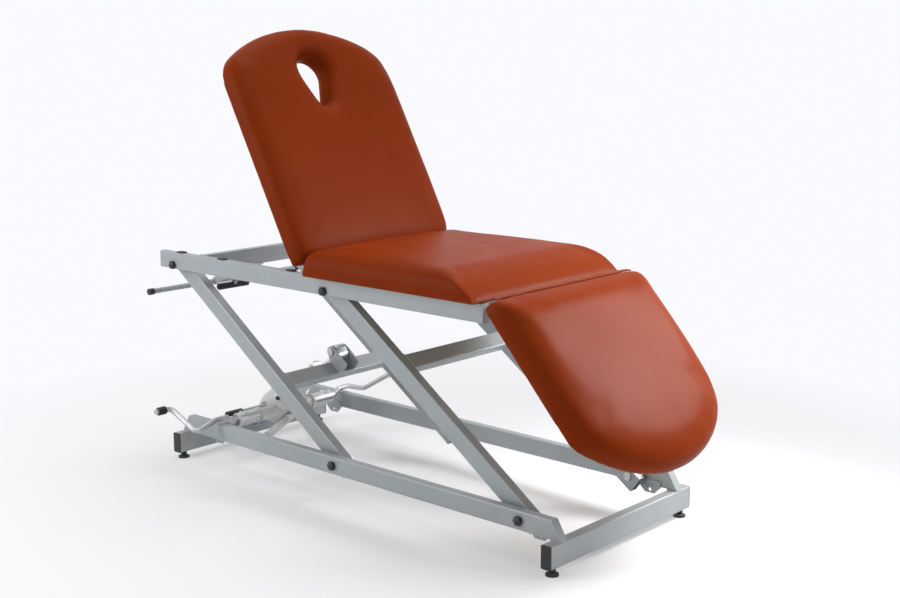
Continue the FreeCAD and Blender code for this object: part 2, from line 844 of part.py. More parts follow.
def pin_plate(x, z, root, radius, degrees, side):
    """A tapered plate from a root of the given half height to a pin hole at the far end."""
    low, high = plate_sides(side)
    pin_x, pin_z = polar(x, z, radius, degrees)
    across = math.radians(degrees + 90)
    ux, uz = math.cos(across), math.sin(across)
    end = strut_eye_radius
    web = profile_xz([(x + root * ux, z + root * uz), (pin_x + end * ux, pin_z + end * uz),
                      (pin_x - end * ux, pin_z - end * uz), (x - root * ux, z - root * uz)],
                     low, high)
    disc = cylinder_y(pin_x, pin_z, end, low, high)
    hole = cylinder_y(pin_x, pin_z, strut_pin_radius + seat_fit, low - 1, high + 1)
    return fused([web, disc]).cut(hole)


def strut_pin(x, z):
    outer = plate_gap / 2 + plate_thickness
    near = middle_y - outer
    far = middle_y + outer + strut_pin_end
    head = strut_pin_radius + pin_head_margin
    return revolved_y(x, z, [
        (near - strut_pin_end, 0), (near - strut_pin_end, head), (near, head),
        (near, strut_pin_radius), (far, strut_pin_radius), (far, 0)])


def eye(x):
    half = strut_eye_width / 2
    ring = cylinder_y(x, 0, strut_eye_radius, -half, half)
    return ring, cylinder_y(x, 0, strut_pin_radius + running_fit, -half - 1, half + 1)


def strut_tube(length):
    """Outer tube of a strut with its eye at the origin, pointing along +X."""
    ring, hole = eye(0)
    tube = Part.makeCylinder(strut_tube_radius, length - strut_bore_start,
                             point(strut_bore_start, 0, 0), point(1, 0, 0))
    neck = Part.makeCylinder(strut_rod_radius + strut_neck_wall, strut_bore_start, point(0, 0, 0),
                             point(1, 0, 0))
    bore = Part.makeCylinder(strut_rod_radius + face_gap, length,
                             point(strut_bore_start, 0, 0), point(1, 0, 0))
    return fused([ring, neck, tube]).cut(bore).cut(hole)


def strut_rod(length):
    """Rod of a strut with its eye at the origin, pointing along -X."""
    ring, hole = eye(0)
    rod = Part.makeCylinder(strut_rod_radius, length, point(-length, 0, 0), point(1, 0, 0))
    return fused([ring, rod]).cut(hole)


def build_strut(prefix, frame_pin, moving_pin, tube_length, rod_length):
    dx = moving_pin[0] - frame_pin[0]
    dz = moving_pin[1] - frame_pin[1]
    degrees = -math.degrees(math.atan2(dz, dx))
    tube = tilted(strut_tube(tube_length), degrees, frame_pin[0], frame_pin[1])
    rod = tilted(strut_rod(rod_length), degrees, moving_pin[0], moving_pin[1])
    save(prefix + "_strut_tube", moved(tube, 0, middle_y, 0))
    save(prefix + "_strut_rod", moved(rod, 0, middle_y, 0))


def frame_bracket(tube_face, pin, side):
    low, high = plate_sides(side)
    reach = strut_eye_radius
    web = profile_xz([(tube_face, top_rail_z + bracket_low), (tube_face, top_z - bracket_high),
                      (pin[0], pin[1] + reach), (pin[0], pin[1] - reach)], low, high)
    disc = cylinder_y(pin[0], pin[1], reach, low, high)
    hole = cylinder_y(pin[0], pin[1], strut_pin_radius + seat_fit, low - 1, high + 1)
    return fused([web, disc]).cut(hole)


def build_struts():
    back_frame_pin = polar(back_hinge_x, hinge_z, back_strut_radius, back_strut_frame_angle)
    back_moving_pin = polar(back_hinge_x, hinge_z, back_strut_radius,
                            back_strut_lever_angle - back_angle)
    leg_frame_pin = polar(leg_hinge_x, hinge_z, leg_strut_radius, leg_strut_frame_angle)
    leg_moving_pin = polar(leg_hinge_x, hinge_z, leg_strut_radius,
                           leg_strut_lug_angle - leg_angle)
    build_strut("back", back_frame_pin, back_moving_pin, back_strut_tube, back_strut_rod)
    build_strut("leg", leg_frame_pin, leg_moving_pin, leg_strut_tube, leg_strut_rod)
    brackets = []
    for face, pin in ((top_mid_tube_x, back_frame_pin),
                      (top_foot_tube_x + top_tube_width, leg_frame_pin)):
        brackets += [frame_bracket(face, pin, side) for side in (-1, 1)]
    ears, handle_pin = handle_bracket()
    save("frame_brackets", brackets + ears)
    save("frame_pins", [strut_pin(*back_frame_pin), strut_pin(*leg_frame_pin), handle_pin])


# Leg section
def build_leg_section():
    cushion, board = cushion_and_board(leg_start, leg_end, leg_arch_radius,
                                       leg_corner_radius, leg_inner_edge)
    flap_low = cushion_rise + leg_flap_rise
    half = cushion_width / 2 - cushion_edge
    flap = box(leg_start - leg_flap_reach, leg_start, -half, half,
               flap_low, flap_low + leg_flap_thickness)
    for name, shape in (("leg_cushion", cushion), ("leg_board", board), ("leg_flap", flap)):
        save(name, tilted(moved(shape, 0, middle_y, 0), leg_angle, leg_hinge_x, hinge_z))
    straps = [hinge_strap(0, leg_strap_length, y)
              for y in (strap_inset, base_width - strap_inset)]
    pin_x, pin_z = polar(0, 0, leg_strut_radius, leg_strut_lug_angle)
    top = cushion_rise - strap_thickness / 2
    cross = box(pin_x - leg_cross_half, pin_x + leg_cross_half, strap_inset, base_width - strap_inset,
                cushion_rise - strap_thickness, cushion_rise)
    lugs = []
    for side in (-1, 1):
        low, high = plate_sides(side)
        web = profile_xz([(pin_x - leg_lug_half, top), (pin_x + leg_lug_half, top),
                          (pin_x + strut_eye_radius, pin_z), (pin_x - strut_eye_radius, pin_z)],
                         low, high)
        disc = cylinder_y(pin_x, pin_z, strut_eye_radius, low, high)
        hole = cylinder_y(pin_x, pin_z, strut_pin_radius + seat_fit, low - 1, high + 1)
        lugs.append(fused([web, disc]).cut(hole))
    frame = fused([hinge_tube()] + straps + [cross] + lugs)
    save("leg_hinge_frame", [tilted(shape, leg_angle, leg_hinge_x, hinge_z)
                             for shape in (frame, strut_pin(pin_x, pin_z))])


# Seat: a flat board on the rails and a cushion with a slanted head end and a nosed foot end
def build_seat():
    low = cushion_z
    high = cushion_z + cushion_thickness
    back = seat_start + seat_slant
    outline = [
        (seat_start, low), (back, low + seat_slant_height),
        (back + seat_back_step, high - seat_back_drop), (back + seat_back_round, high),
        (seat_flat_end, high), (seat_end - nose_high_setback, high - nose_high_drop),
        (seat_end - nose_middle_setback, high - nose_middle_drop),
        (seat_end - nose_low_setback, high - nose_low_drop), (seat_end, low)]
    body = profile_xz(outline, cushion_y, cushion_y + cushion_width)
    section = Part.makeBox(seat_end - seat_start, cushion_width, cushion_thickness,
                           point(seat_start, cushion_y, low))
    upper = [edge for edge in section.Edges
             if edge.BoundBox.XLength > 1 and edge.BoundBox.ZMin > high - 0.1]
    section = section.makeFillet(cushion_edge, upper)
    lower = [edge for edge in section.Edges
             if edge.BoundBox.XLength > 1 and edge.BoundBox.ZMax < low + 0.1]
    section = section.makeFillet(cushion_lower_edge, lower)
    start = seat_start + board_inset
    end = seat_end - board_inset
    near = cushion_y + board_inset
    far = cushion_y + cushion_width - board_inset
    gap = board_gap
    pocket = box(start - gap, end + gap, near - gap, far + gap, low - 1,
                 top_z + board_thickness + gap)
    save("seat_cushion", body.common(section).cut(pocket))
    save("seat_board", box(start, end, near, far, top_z, top_z + board_thickness))


# Hydraulic cylinder, drawn along +X with its pivot at the origin and Y = 0 as its middle
def on_cylinder(shape):
    copy = moved(shape, 0, pump_y, 0)
    return tilted(copy, -cylinder_angle, pump_pivot_x, pump_pivot_z)


def cylinder_place(x, z):
    """A place on the frame as distances along and over the cylinder's axis."""
    dx = x - pump_pivot_x
    dz = z - pump_pivot_z
    angle = math.radians(cylinder_angle)
    return (dx * math.cos(angle) + dz * math.sin(angle),
            dz * math.cos(angle) - dx * math.sin(angle))


def pump_casing():
    body = revolved_x([
        (casing_start, 0), (casing_start, casing_radius - casing_back_step),
        (casing_start + casing_back_length, casing_radius - casing_swell),
        (casing_start + casing_swell_length, casing_radius),
        (casing_end - casing_shoulder, casing_radius),
        (casing_end - casing_step_length, casing_radius - casing_step),
        (casing_end - casing_front_length, casing_radius - casing_front_step),
        (casing_end, casing_neck_radius), (casing_end, 0)])
    half = pump_eye_width / 2
    ring = cylinder_y(0, 0, pump_eye_radius, -half, half)
    neck_half = pump_eye_radius - pump_neck_margin
    neck = box(0, casing_start + pump_neck_margin, -half, half, -neck_half, neck_half)
    along, over = cylinder_place(shaft_x, shaft_z)
    near_boss = hub_end + face_gap - pump_y
    far_boss = base_width - hub_end - face_gap - pump_y
    boss = cylinder_y(along, over, boss_radius, near_boss, far_boss)
    flanges = [cylinder_y(along, over, flange_radius, near_boss, near_boss + flange_thickness),
               cylinder_y(along, over, flange_radius, far_boss - flange_thickness, far_boss)]
    casing = fused([body, ring, neck, boss] + flanges + release_ears() + [release_pin()])
    bores = [
        cylinder_y(0, 0, pump_pin_radius + running_fit, -half - 1, half + 1),
        cylinder_y(along, over, shaft_radius + running_fit, near_boss - 1, far_boss + 1),
        Part.makeCylinder(barrel_radius + seat_fit, casing_end, point(barrel_start, 0, 0),
                          point(1, 0, 0)),
        Part.makeCylinder(rod_radius + rod_bore_play, barrel_start,
                          point(casing_bore_start, 0, 0), point(1, 0, 0))]
    for bore in bores:
        casing = casing.cut(bore)
    return casing


def release_ears():
    """Two small ears on the casing's near side that carry the release pedal's pin."""
    along, over = cylinder_place(release_x, release_z)
    pivot = release_pivot_y - pump_y
    ears = []
    for side in (-1, 1):
        inner = along + side * (release_stem_radius + release_ear_gap)
        outer = inner + side * release_ear_thickness
        low, high = min(inner, outer), max(inner, outer)
        disc = Part.makeCylinder(release_eye_radius, high - low, point(low, pivot, over),
                                 point(1, 0, 0))
        web = box(low, high, pivot, -casing_radius + release_ear_sink, over - release_eye_radius,
                  over + release_eye_radius)
        ears.append(fused([disc, web]))
    return ears


def release_pin():
    along, over = cylinder_place(release_x, release_z)
    half = release_stem_radius + release_ear_gap + release_ear_thickness + 1
    return Part.makeCylinder(release_pin_radius, 2 * half,
                             point(along - half, release_pivot_y - pump_y, over), point(1, 0, 0))


def build_cylinder():
    save("pump_casing", on_cylinder(pump_casing()))
    barrel = Part.makeCylinder(barrel_radius, barrel_end - barrel_start,
                               point(barrel_start, 0, 0), point(1, 0, 0))
    bore = Part.makeCylinder(rod_radius + rod_bore_play, barrel_end,
                             point(barrel_start, 0, 0), point(1, 0, 0))
    save("lift_barrel", on_cylinder(barrel.cut(bore)))
    gland = revolved_x([
        (barrel_end, rod_radius + running_fit), (barrel_end, gland_radius),
        (barrel_end + gland_length - gland_bevel_length, gland_radius),
        (barrel_end + gland_length, gland_radius - gland_bevel),
        (barrel_end + gland_length, rod_radius + running_fit)])
    save("barrel_gland", on_cylinder(gland))
    middle = -casing_radius - face_gap - link_height / 2
    link = [box(link_start, link_end, -link_width, 0, middle - link_height / 2,
                middle + link_height / 2)]
    for x in (link_start, link_end):
        link.append(cylinder_y(x, middle, link_height / 2, -link_width - link_bolt_head, 0))
    save("pump_link", on_cylinder(fused(link)))
    save("lift_rod", on_cylinder(lift_rod()))


def lift_rod():
    """Rod with a cross slot in its eye, which lets the pin move sideways over the travel."""
    half = lug_gap / 2 - lift_eye_play
    slot_radius = lift_pin_radius + slot_slack
    eye_radius = slot_radius + slot_wall

    def obround(radius, width):
        ends = [cylinder_y(cylinder_length, z, radius, -width, width)
                for z in (-slot_travel, slot_travel)]
        middle = box(cylinder_length - radius, cylinder_length + radius, -width, width,
                     -slot_travel, slot_travel)
        return fused(ends + [middle])

    tail = barrel_end - rod_tail
    rod = Part.makeCylinder(rod_radius, cylinder_length - tail, point(tail, 0, 0), point(1, 0, 0))
    return fused([obround(eye_radius, half), rod]).cut(obround(slot_radius, half + 1))


# Pump shaft, its clamps and the bent pedal tubes
def rounded_path(points, radius):
    """Straight runs joined by tangent arcs."""
    edges = []
    start = points[0]
    for before, corner, after in zip(points, points[1:], points[2:]):
        back = (before - corner).normalize()
        ahead = (after - corner).normalize()
        half = back.getAngle(ahead) / 2
        reach = radius / math.tan(half)
        first = corner + back * reach
        last = corner + ahead * reach
        bisector = (back + ahead).normalize()
        middle = corner + bisector * (radius / math.sin(half) - radius)
        edges.append(Part.makeLine(start, first))
        edges.append(Part.Arc(first, middle, last).toShape())
        start = last
    edges.append(Part.makeLine(start, points[-1]))
    return Part.Wire(edges)


def pedal_tube():
    high = shaft_z + pedal_rail_rise
    route = [point(shaft_x, hub_start, shaft_z), point(shaft_x, hub_start - pedal_root, shaft_z),
             point(shaft_x, inner_y + pedal_rail_clearance, high),
             point(shaft_x, rail_inset - pedal_rail_overhang, high),
             point(shaft_x, pedal_low_y, shaft_z - pedal_dip),
             point(pedal_bend_x, pedal_bend_y, pedal_bend_z),
             point(pedal_bend_x, pedal_tip_y, pedal_bend_z)]
    path = rounded_path(route, pedal_bend_radius)
    ring = Part.Wire(Part.makeCircle(pedal_tube_radius, route[0], point(0, -1, 0)))
    return path.makePipeShell([ring], True, True)


def pedal_grip():
    start = pedal_tip_y + grip_margin
    end = pedal_bend_y - pedal_bend_radius - grip_end_gap
    pitch = (end - start) / grip_ribs
    inner = pedal_tube_radius + seat_fit
    outline = [(start, inner)]
    for rib in range(grip_ribs):
        y = start + rib * pitch
        outline += [(y, grip_radius - grip_groove), (y + pitch * grip_rib_rise, grip_radius),
                    (y + pitch * grip_rib_crest, grip_radius),
                    (y + pitch * grip_rib_fall, grip_radius - grip_groove)]
    outline += [(end, grip_radius - grip_groove), (end, inner)]
    return revolved_y(pedal_bend_x, pedal_bend_z, outline)


def clamp_hub():
    hub = cylinder_y(shaft_x, shaft_z, hub_radius, hub_start, hub_end)
    edges = [edge for edge in hub.Edges if edge.BoundBox.YLength < 0.1]
    hub = hub.makeChamfer(hub_bevel, edges)
    floor_y = hub_start + hub_floor
    hole = cylinder_y(shaft_x, shaft_z, shaft_radius + seat_fit, floor_y, hub_end + 1)
    slit = box(shaft_x - hub_radius, shaft_x - shaft_radius, floor_y, hub_end + 1,
               shaft_z - hub_slit / 2, shaft_z + hub_slit / 2)
    return hub.cut(hole).cut(slit)


def turned_about_shaft(shape):
    """The far pedal set is the near one turned half round about the vertical."""
    copy = shape.copy()
    copy.rotate(point(shaft_x, middle_y, 0), point(0, 0, 1), 180)
    return copy


def build_pedals():
    start = hub_start + shaft_end_room
    save("pump_shaft", cylinder_y(shaft_x, shaft_z, shaft_radius, start, base_width - start))
    save("shaft_clamps", [clamp_hub(), turned_about_shaft(clamp_hub())])
    tube = pedal_tube()
    save("pedal_near", tube)
    save("pedal_far", turned_about_shaft(tube))
    save("pedal_grips", [pedal_grip(), turned_about_shaft(pedal_grip())])


def build_release_pedal():
    end = release_start + release_pad_length
    pad = revolved_y(release_x, release_z, [
        (release_start, 0), (release_start, release_pad_radius - release_pad_bevel),
        (release_start + release_pad_bevel, release_pad_radius),
        (end - release_pad_bevel, release_pad_radius),
        (end, release_pad_radius - release_pad_bevel), (end, 0)])
    save("release_pad", pad)
    stem = cylinder_y(release_x, release_z, release_stem_radius, end, release_pivot_y)
    stem_eye = Part.makeCylinder(release_eye_radius - 1, 2 * release_stem_radius,
                                 point(-release_stem_radius, 0, 0), point(1, 0, 0))
    hole = Part.makeCylinder(release_pin_radius + running_fit, 4 * release_stem_radius,
                             point(-2 * release_stem_radius, 0, 0), point(1, 0, 0))
    stem_eye = tilted(stem_eye, -cylinder_angle, release_x, release_z)
    hole = tilted(hole, -cylinder_angle, release_x, release_z)
    stem_eye = moved(stem_eye, 0, release_pivot_y, 0)
    hole = moved(hole, 0, release_pivot_y, 0)
    save("release_stem", fused([stem, stem_eye]).cut(hole))


# Roll bar across the head end, on two straps from the head cross tube
def build_roll_bar():
    end = end_cap_thickness
    bar = cylinder_y(roll_bar_x, roll_bar_z, roll_bar_radius, end, base_width - end)
    straps = []
    for side in (-1, 1):
        y = middle_y + side * roll_strap_spread
        low = y - roll_strap_thickness / 2
        high = y + roll_strap_thickness / 2
        root = top_rail_z + rail_height / 2
        half = roll_strap_width / 2
        web = profile_xz([(top_head_tube_x, root - half), (top_head_tube_x, root + half),
                          (roll_bar_x - roll_strap_overlap, roll_bar_z + half),
                          (roll_bar_x - roll_strap_overlap, roll_bar_z - half),
                          (roll_bar_x + half, roll_bar_z - half)], low, high)
        straps.append(web)
    save("roll_bar", fused([bar] + straps))
    cap = revolved_y(roll_bar_x, roll_bar_z, [
        (0, 0), (0, roll_cap_radius - roll_cap_bevel), (roll_cap_bevel, roll_cap_radius),
        (roll_cap_length, roll_cap_radius),
        (roll_cap_length, roll_bar_radius + seat_fit), (end, roll_bar_radius + seat_fit), (end, 0)])
    save("roll_bar_caps", both_sides(cap))


# Release handle of the backrest, under the head cross tube
def handle_bracket():
    pivot_z = top_rail_z - handle_pivot_drop
    inner = handle_arm_thickness / 2 + face_gap
    outer = inner + plate_thickness
    ears = []
    for side in (-1, 1):
        low, high = sorted((handle_y + side * inner, handle_y + side * outer))
        web = box(handle_pivot_x - handle_ear_radius, handle_pivot_x + handle_ear_radius,
                  low, high, pivot_z, top_rail_z)
        disc = cylinder_y(handle_pivot_x, pivot_z, handle_ear_radius, low, high)
        hole = cylinder_y(handle_pivot_x, pivot_z, handle_pin_radius + seat_fit, low - 1, high + 1)
        ears.append(fused([web, disc]).cut(hole))
    pin = cylinder_y(handle_pivot_x, pivot_z, handle_pin_radius, handle_y - outer - handle_pin_end,
                     handle_y + outer + handle_pin_end)
    return ears, pin


def build_release_handle():
    pivot_z = top_rail_z - handle_pivot_drop
    half = handle_arm_thickness / 2
    dx = handle_x - handle_pivot_x
    dz = handle_z - pivot_z
    span = math.hypot(dx, dz)
    wide = handle_arm_width / 2
    nx, nz = -dz / span * wide, dx / span * wide
    stop = (span - handle_radius * handle_seat_share) / span
    end_x, end_z = handle_pivot_x + dx * stop, pivot_z + dz * stop
    web = profile_xz([(handle_pivot_x + nx, pivot_z + nz), (handle_pivot_x - nx, pivot_z - nz),
                      (end_x - nx, end_z - nz), (end_x + nx, end_z + nz)],
                     handle_y - half, handle_y + half)
    disc = cylinder_y(handle_pivot_x, pivot_z, wide, handle_y - half, handle_y + half)
    hole = cylinder_y(handle_pivot_x, pivot_z, handle_pin_radius + running_fit,
                      handle_y - half - 1, handle_y + half + 1)
    near = handle_y - handle_half_length
    far = handle_y + handle_half_length
    grip = revolved_y(handle_x, handle_z, [
        (near, 0), (near, handle_radius - handle_bevel), (near + handle_bevel, handle_radius),
        (far - handle_bevel, handle_radius), (far, handle_radius - handle_bevel), (far, 0)])
    seat = cylinder_y(handle_x, handle_z, handle_radius + running_fit, near, far)
    save("handle_arm", fused([web, disc]).cut(hole).cut(seat))
    save("handle_grip", grip)


def export_all():
    low = min(shape.BoundBox.XMin for shape in pieces["roll_bar_caps"])
    high = max(shape.optimalBoundingBox(False, False).XMax for shape in pieces["leg_cushion"])
    shift = point(-(low + high) / 2, -middle_y, 0)
    os.makedirs("parts", exist_ok=True)
    for name, shapes in pieces.items():
        solids = []
        for shape in shapes:
            solids += shape.Solids
        for index, solid in enumerate(solids):
            solids[index] = solid.copy()
            solids[index].translate(shift)
        whole = solids[0] if len(solids) == 1 else Part.makeCompound(solids)
        whole.exportStep("parts/" + name + ".step")
    print("origin shift", shift.x, shift.y, "nodes", len(pieces))


build_base()
build_pump_bracket()
build_lift_arms()
build_upper_frame()
build_backrest()
build_struts()
build_leg_section()
build_seat()
build_cylinder()
build_pedals()
build_release_pedal()
build_roll_bar()
build_release_handle()
export_all()
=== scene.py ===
import json
import math

import bpy
from mathutils import Matrix, Vector, noise

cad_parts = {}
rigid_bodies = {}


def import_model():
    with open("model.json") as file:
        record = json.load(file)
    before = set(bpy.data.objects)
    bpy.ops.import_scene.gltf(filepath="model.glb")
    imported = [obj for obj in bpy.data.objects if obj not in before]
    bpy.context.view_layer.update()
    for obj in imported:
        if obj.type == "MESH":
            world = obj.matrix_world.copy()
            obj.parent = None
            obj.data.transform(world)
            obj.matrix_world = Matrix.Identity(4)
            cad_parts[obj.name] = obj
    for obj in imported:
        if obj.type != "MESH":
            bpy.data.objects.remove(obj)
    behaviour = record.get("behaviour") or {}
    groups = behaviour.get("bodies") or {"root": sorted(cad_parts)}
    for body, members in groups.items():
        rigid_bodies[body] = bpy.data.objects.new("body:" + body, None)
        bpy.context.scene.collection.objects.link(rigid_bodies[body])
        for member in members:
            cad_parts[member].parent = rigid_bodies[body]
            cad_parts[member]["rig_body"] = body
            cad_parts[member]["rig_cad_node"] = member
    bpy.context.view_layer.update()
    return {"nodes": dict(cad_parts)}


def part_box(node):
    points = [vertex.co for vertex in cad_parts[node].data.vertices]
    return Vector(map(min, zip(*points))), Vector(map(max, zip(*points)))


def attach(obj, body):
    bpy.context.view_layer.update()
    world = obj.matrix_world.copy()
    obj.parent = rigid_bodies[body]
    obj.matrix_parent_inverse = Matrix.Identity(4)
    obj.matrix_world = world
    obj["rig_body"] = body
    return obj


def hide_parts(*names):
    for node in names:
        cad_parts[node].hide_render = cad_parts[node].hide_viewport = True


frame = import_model()
nodes = frame["nodes"]


# Painted steel of the frames and arms
# Welded rectangular steel tube with a silver-grey coat, baked on after welding. The coat has a
# fine orange peel, is thin on the corners of the tubes, and holds a little dust on its tops.
def node(tree, kind, inputs=None, **settings):
    """A new shader node with its settings made and its inputs set or linked."""
    made = tree.nodes.new("ShaderNode" + kind)
    for key, value in settings.items():
        setattr(made, key, value)
    for key, value in (inputs or {}).items():
        if isinstance(value, bpy.types.NodeSocket):
            tree.links.new(value, made.inputs[key])
        else:
            made.inputs[key].default_value = value
    return made


def effect_group(name, inputs, outputs):
    """An empty node group for one effect, with its start and end nodes."""
    group = bpy.data.node_groups.new(name, "ShaderNodeTree")
    for label, value in inputs:
        socket = group.interface.new_socket(name=label, in_out="INPUT",
                                            socket_type="NodeSocketFloat")
        socket.default_value = value
    for label in outputs:
        group.interface.new_socket(name=label, in_out="OUTPUT", socket_type="NodeSocketFloat")
    return group, group.nodes.new("NodeGroupInput"), group.nodes.new("NodeGroupOutput")


def tones(tree, factor, first, second):
    """Two colours, or one colour laid over another, mixed by a mask."""
    mix = node(tree, "Mix", {0: factor}, data_type="RGBA")
    for place, colour in ((6, first), (7, second)):
        if isinstance(colour, bpy.types.NodeSocket):
            tree.links.new(colour, mix.inputs[place])
        else:
            mix.inputs[place].default_value = (*colour, 1.0)
    return mix.outputs[2]


def between(tree, value, from_min, from_max, to_min, to_max):
    mapped = node(tree, "MapRange", {"Value": value, "From Min": from_min, "From Max": from_max,
                                     "To Min": to_min, "To Max": to_max})
    return mapped.outputs["Result"]


def worn_edges_group():
    group, start, end = effect_group("worn edges", (("Reach", 0.001), ("Patch scale", 30.0)),
                                     ("Mask",))
    softened = node(group, "Bevel", {"Radius": start.outputs["Reach"]}, samples=4)
    surface = node(group, "NewGeometry")
    agreement = node(group, "VectorMath", {0: softened.outputs["Normal"],
                                           1: surface.outputs["Normal"]},
                     operation="DOT_PRODUCT")
    edge = between(group, agreement.outputs["Value"], 0.985, 0.82, 0.0, 1.0)
    place = node(group, "TexCoord")
    patches = node(group, "TexNoise", {"Vector": place.outputs["Object"],
                                       "Scale": start.outputs["Patch scale"],
                                       "Detail": 6.0, "Roughness": 0.65})
    rubbed = between(group, patches.outputs["Fac"], 0.44, 0.62, 0.0, 1.0)
    mask = node(group, "Math", {0: edge, 1: rubbed}, operation="MULTIPLY")
    group.links.new(mask.outputs[0], end.inputs["Mask"])
    return group


def settled_dust_group():
    group, start, end = effect_group("settled dust", (("Cloud scale", 9.0),), ("Mask",))
    surface = node(group, "NewGeometry")
    upward = node(group, "SeparateXYZ", {0: surface.outputs["Normal"]})
    tops = between(group, upward.outputs["Z"], 0.55, 1.0, 0.0, 1.0)
    place = node(group, "TexCoord")
    clouds = node(group, "TexNoise", {"Vector": place.outputs["Object"],
                                      "Scale": start.outputs["Cloud scale"],
                                      "Detail": 8.0, "Roughness": 0.7})
    thick = between(group, clouds.outputs["Fac"], 0.35, 0.7, 0.1, 1.0)
    mask = node(group, "Math", {0: tops, 1: thick}, operation="MULTIPLY")
    group.links.new(mask.outputs[0], end.inputs["Mask"])
    return group


def orange_peel_group():
    group, start, end = effect_group("orange peel", (("Peel scale", 600.0),), ("Height", "Cloud"))
    place = node(group, "TexCoord")
    peel = node(group, "TexNoise", {"Vector": place.outputs["Object"],
                                    "Scale": start.outputs["Peel scale"], "Detail": 2.0})
    cloud = node(group, "TexNoise", {"Vector": place.outputs["Object"], "Scale": 6.0,
                                     "Detail": 5.0, "Roughness": 0.6})
    group.links.new(peel.outputs["Fac"], end.inputs["Height"])
    group.links.new(cloud.outputs["Fac"], end.inputs["Cloud"])
    return group


worn_edges = worn_edges_group()
settled_dust = settled_dust_group()
orange_peel = orange_peel_group()
dust_colour = (0.42, 0.40, 0.37)


def coated_steel(name, light, dark, bare, metallic, rough, peel_depth, dust):
    """A baked coat over steel: light and dark are its two tones, bare shows at worn corners."""
    material = bpy.data.materials.new(name)
    material.use_nodes = True
    tree = material.node_tree
    shader = tree.nodes["Principled BSDF"]
    peel = node(tree, "Group", node_tree=orange_peel)
    edges = node(tree, "Group", node_tree=worn_edges)
    film = node(tree, "Group", node_tree=settled_dust)
    cloud = peel.outputs["Cloud"]
    coat = tones(tree, between(tree, cloud, 0.3, 0.7, 0.0, 1.0), light, dark)
    worn = tones(tree, edges.outputs["Mask"], coat, bare)
    dusty = tones(tree, between(tree, film.outputs["Mask"], 0.0, 1.0, 0.0, dust), worn,
                  dust_colour)
    tree.links.new(dusty, shader.inputs["Base Color"])
    low, high = rough
    tree.links.new(between(tree, cloud, 0.25, 0.75, low, high), shader.inputs["Roughness"])
    bump = node(tree, "Bump", {"Height": peel.outputs["Height"], "Strength": 0.35,
                               "Distance": peel_depth})
    tree.links.new(bump.outputs["Normal"], shader.inputs["Normal"])
    shader.inputs["Metallic"].default_value = metallic
    return material


def dress(material, *names):
    """Puts one material on the named CAD pieces."""
    for name in names:
        mesh = nodes[name].data
        mesh.materials.clear()
        mesh.materials.append(material)


frame_paint = coated_steel("frame_paint", (0.375, 0.402, 0.418), (0.330, 0.356, 0.372),
                           (0.52, 0.52, 0.51), 0.18, (0.34, 0.44), 0.0004, 0.14)

dress(frame_paint, "base_head_tube", "base_foot_tube", "base_rail_near", "base_rail_far",
      "head_arm_near", "head_arm_far", "head_arm_tube", "foot_arm_near", "foot_arm_far",
      "foot_arm_tube", "top_rail_near", "top_rail_far", "top_cross_tubes", "hinge_ears",
      "frame_brackets", "back_hinge_frame", "leg_hinge_frame", "pump_bracket", "lift_lugs",
      "roll_bar", "handle_arm")


# Weld beads
# The tubes are joined by arc welds, left as laid and coated with the rest. Each bead is a
# rounded run about 4 mm wide with the small scallops of the arc along it.
bead_radius = 0.0021
bead_step = 0.0035
bead_sink = 0.0008


def along(points, step):
    """The same line with points at about the given distance."""
    made = [points[0]]
    for first, last in zip(points, points[1:]):
        count = max(1, round((last - first).length / step))
        made += [first.lerp(last, k / count) for k in range(1, count + 1)]
    return made


def weld_bead(name, body, points, closed=False):
    """A bead along a line, with scallops from a change of thickness at every other point."""
    line = along(points + points[:1] if closed else points, bead_step)
    if closed:
        line = line[:-1]
    curve = bpy.data.curves.new(name, "CURVE")
    curve.dimensions = "3D"
    curve.bevel_depth = bead_radius
    curve.bevel_resolution = 2
    curve.use_fill_caps = True
    spline = curve.splines.new("POLY")
    spline.points.add(len(line) - 1)
    for index, (place, co) in enumerate(zip(spline.points, line)):
        place.co = (*co, 1.0)
        place.radius = 1.0 if index % 2 else 0.82
    spline.use_cyclic_u = closed
    bead = bpy.data.objects.new(name, curve)
    bpy.context.collection.objects.link(bead)
    bpy.ops.object.select_all(action="DESELECT")
    bead.select_set(True)
    bpy.context.view_layer.objects.active = bead
    bpy.ops.object.convert(target="MESH")
    bead.data.polygons.foreach_set("use_smooth", [True] * len(bead.data.polygons))
    bead.data.materials.append(frame_paint)
    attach(bead, body)
    return bead


def ring_points(centre, half_length, half_height, tilt):
    """Corners of a tube's outline in an XZ plane, turned about Y, with cut corners."""
    cut = 0.003
    outline = []
    for sx, sz in ((1, 1), (-1, 1), (-1, -1), (1, -1)):
        corner = [(sx * half_length, sz * (half_height - cut)),
                  (sx * (half_length - cut), sz * half_height)]
        outline += corner if sx * sz > 0 else corner[::-1]
    turn = Matrix.Rotation(tilt, 3, "Y")
    return [centre + turn @ Vector((x, 0, z)) for x, z in outline]


def tube_centre(name):
    low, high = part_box(name)
    return (low + high) / 2


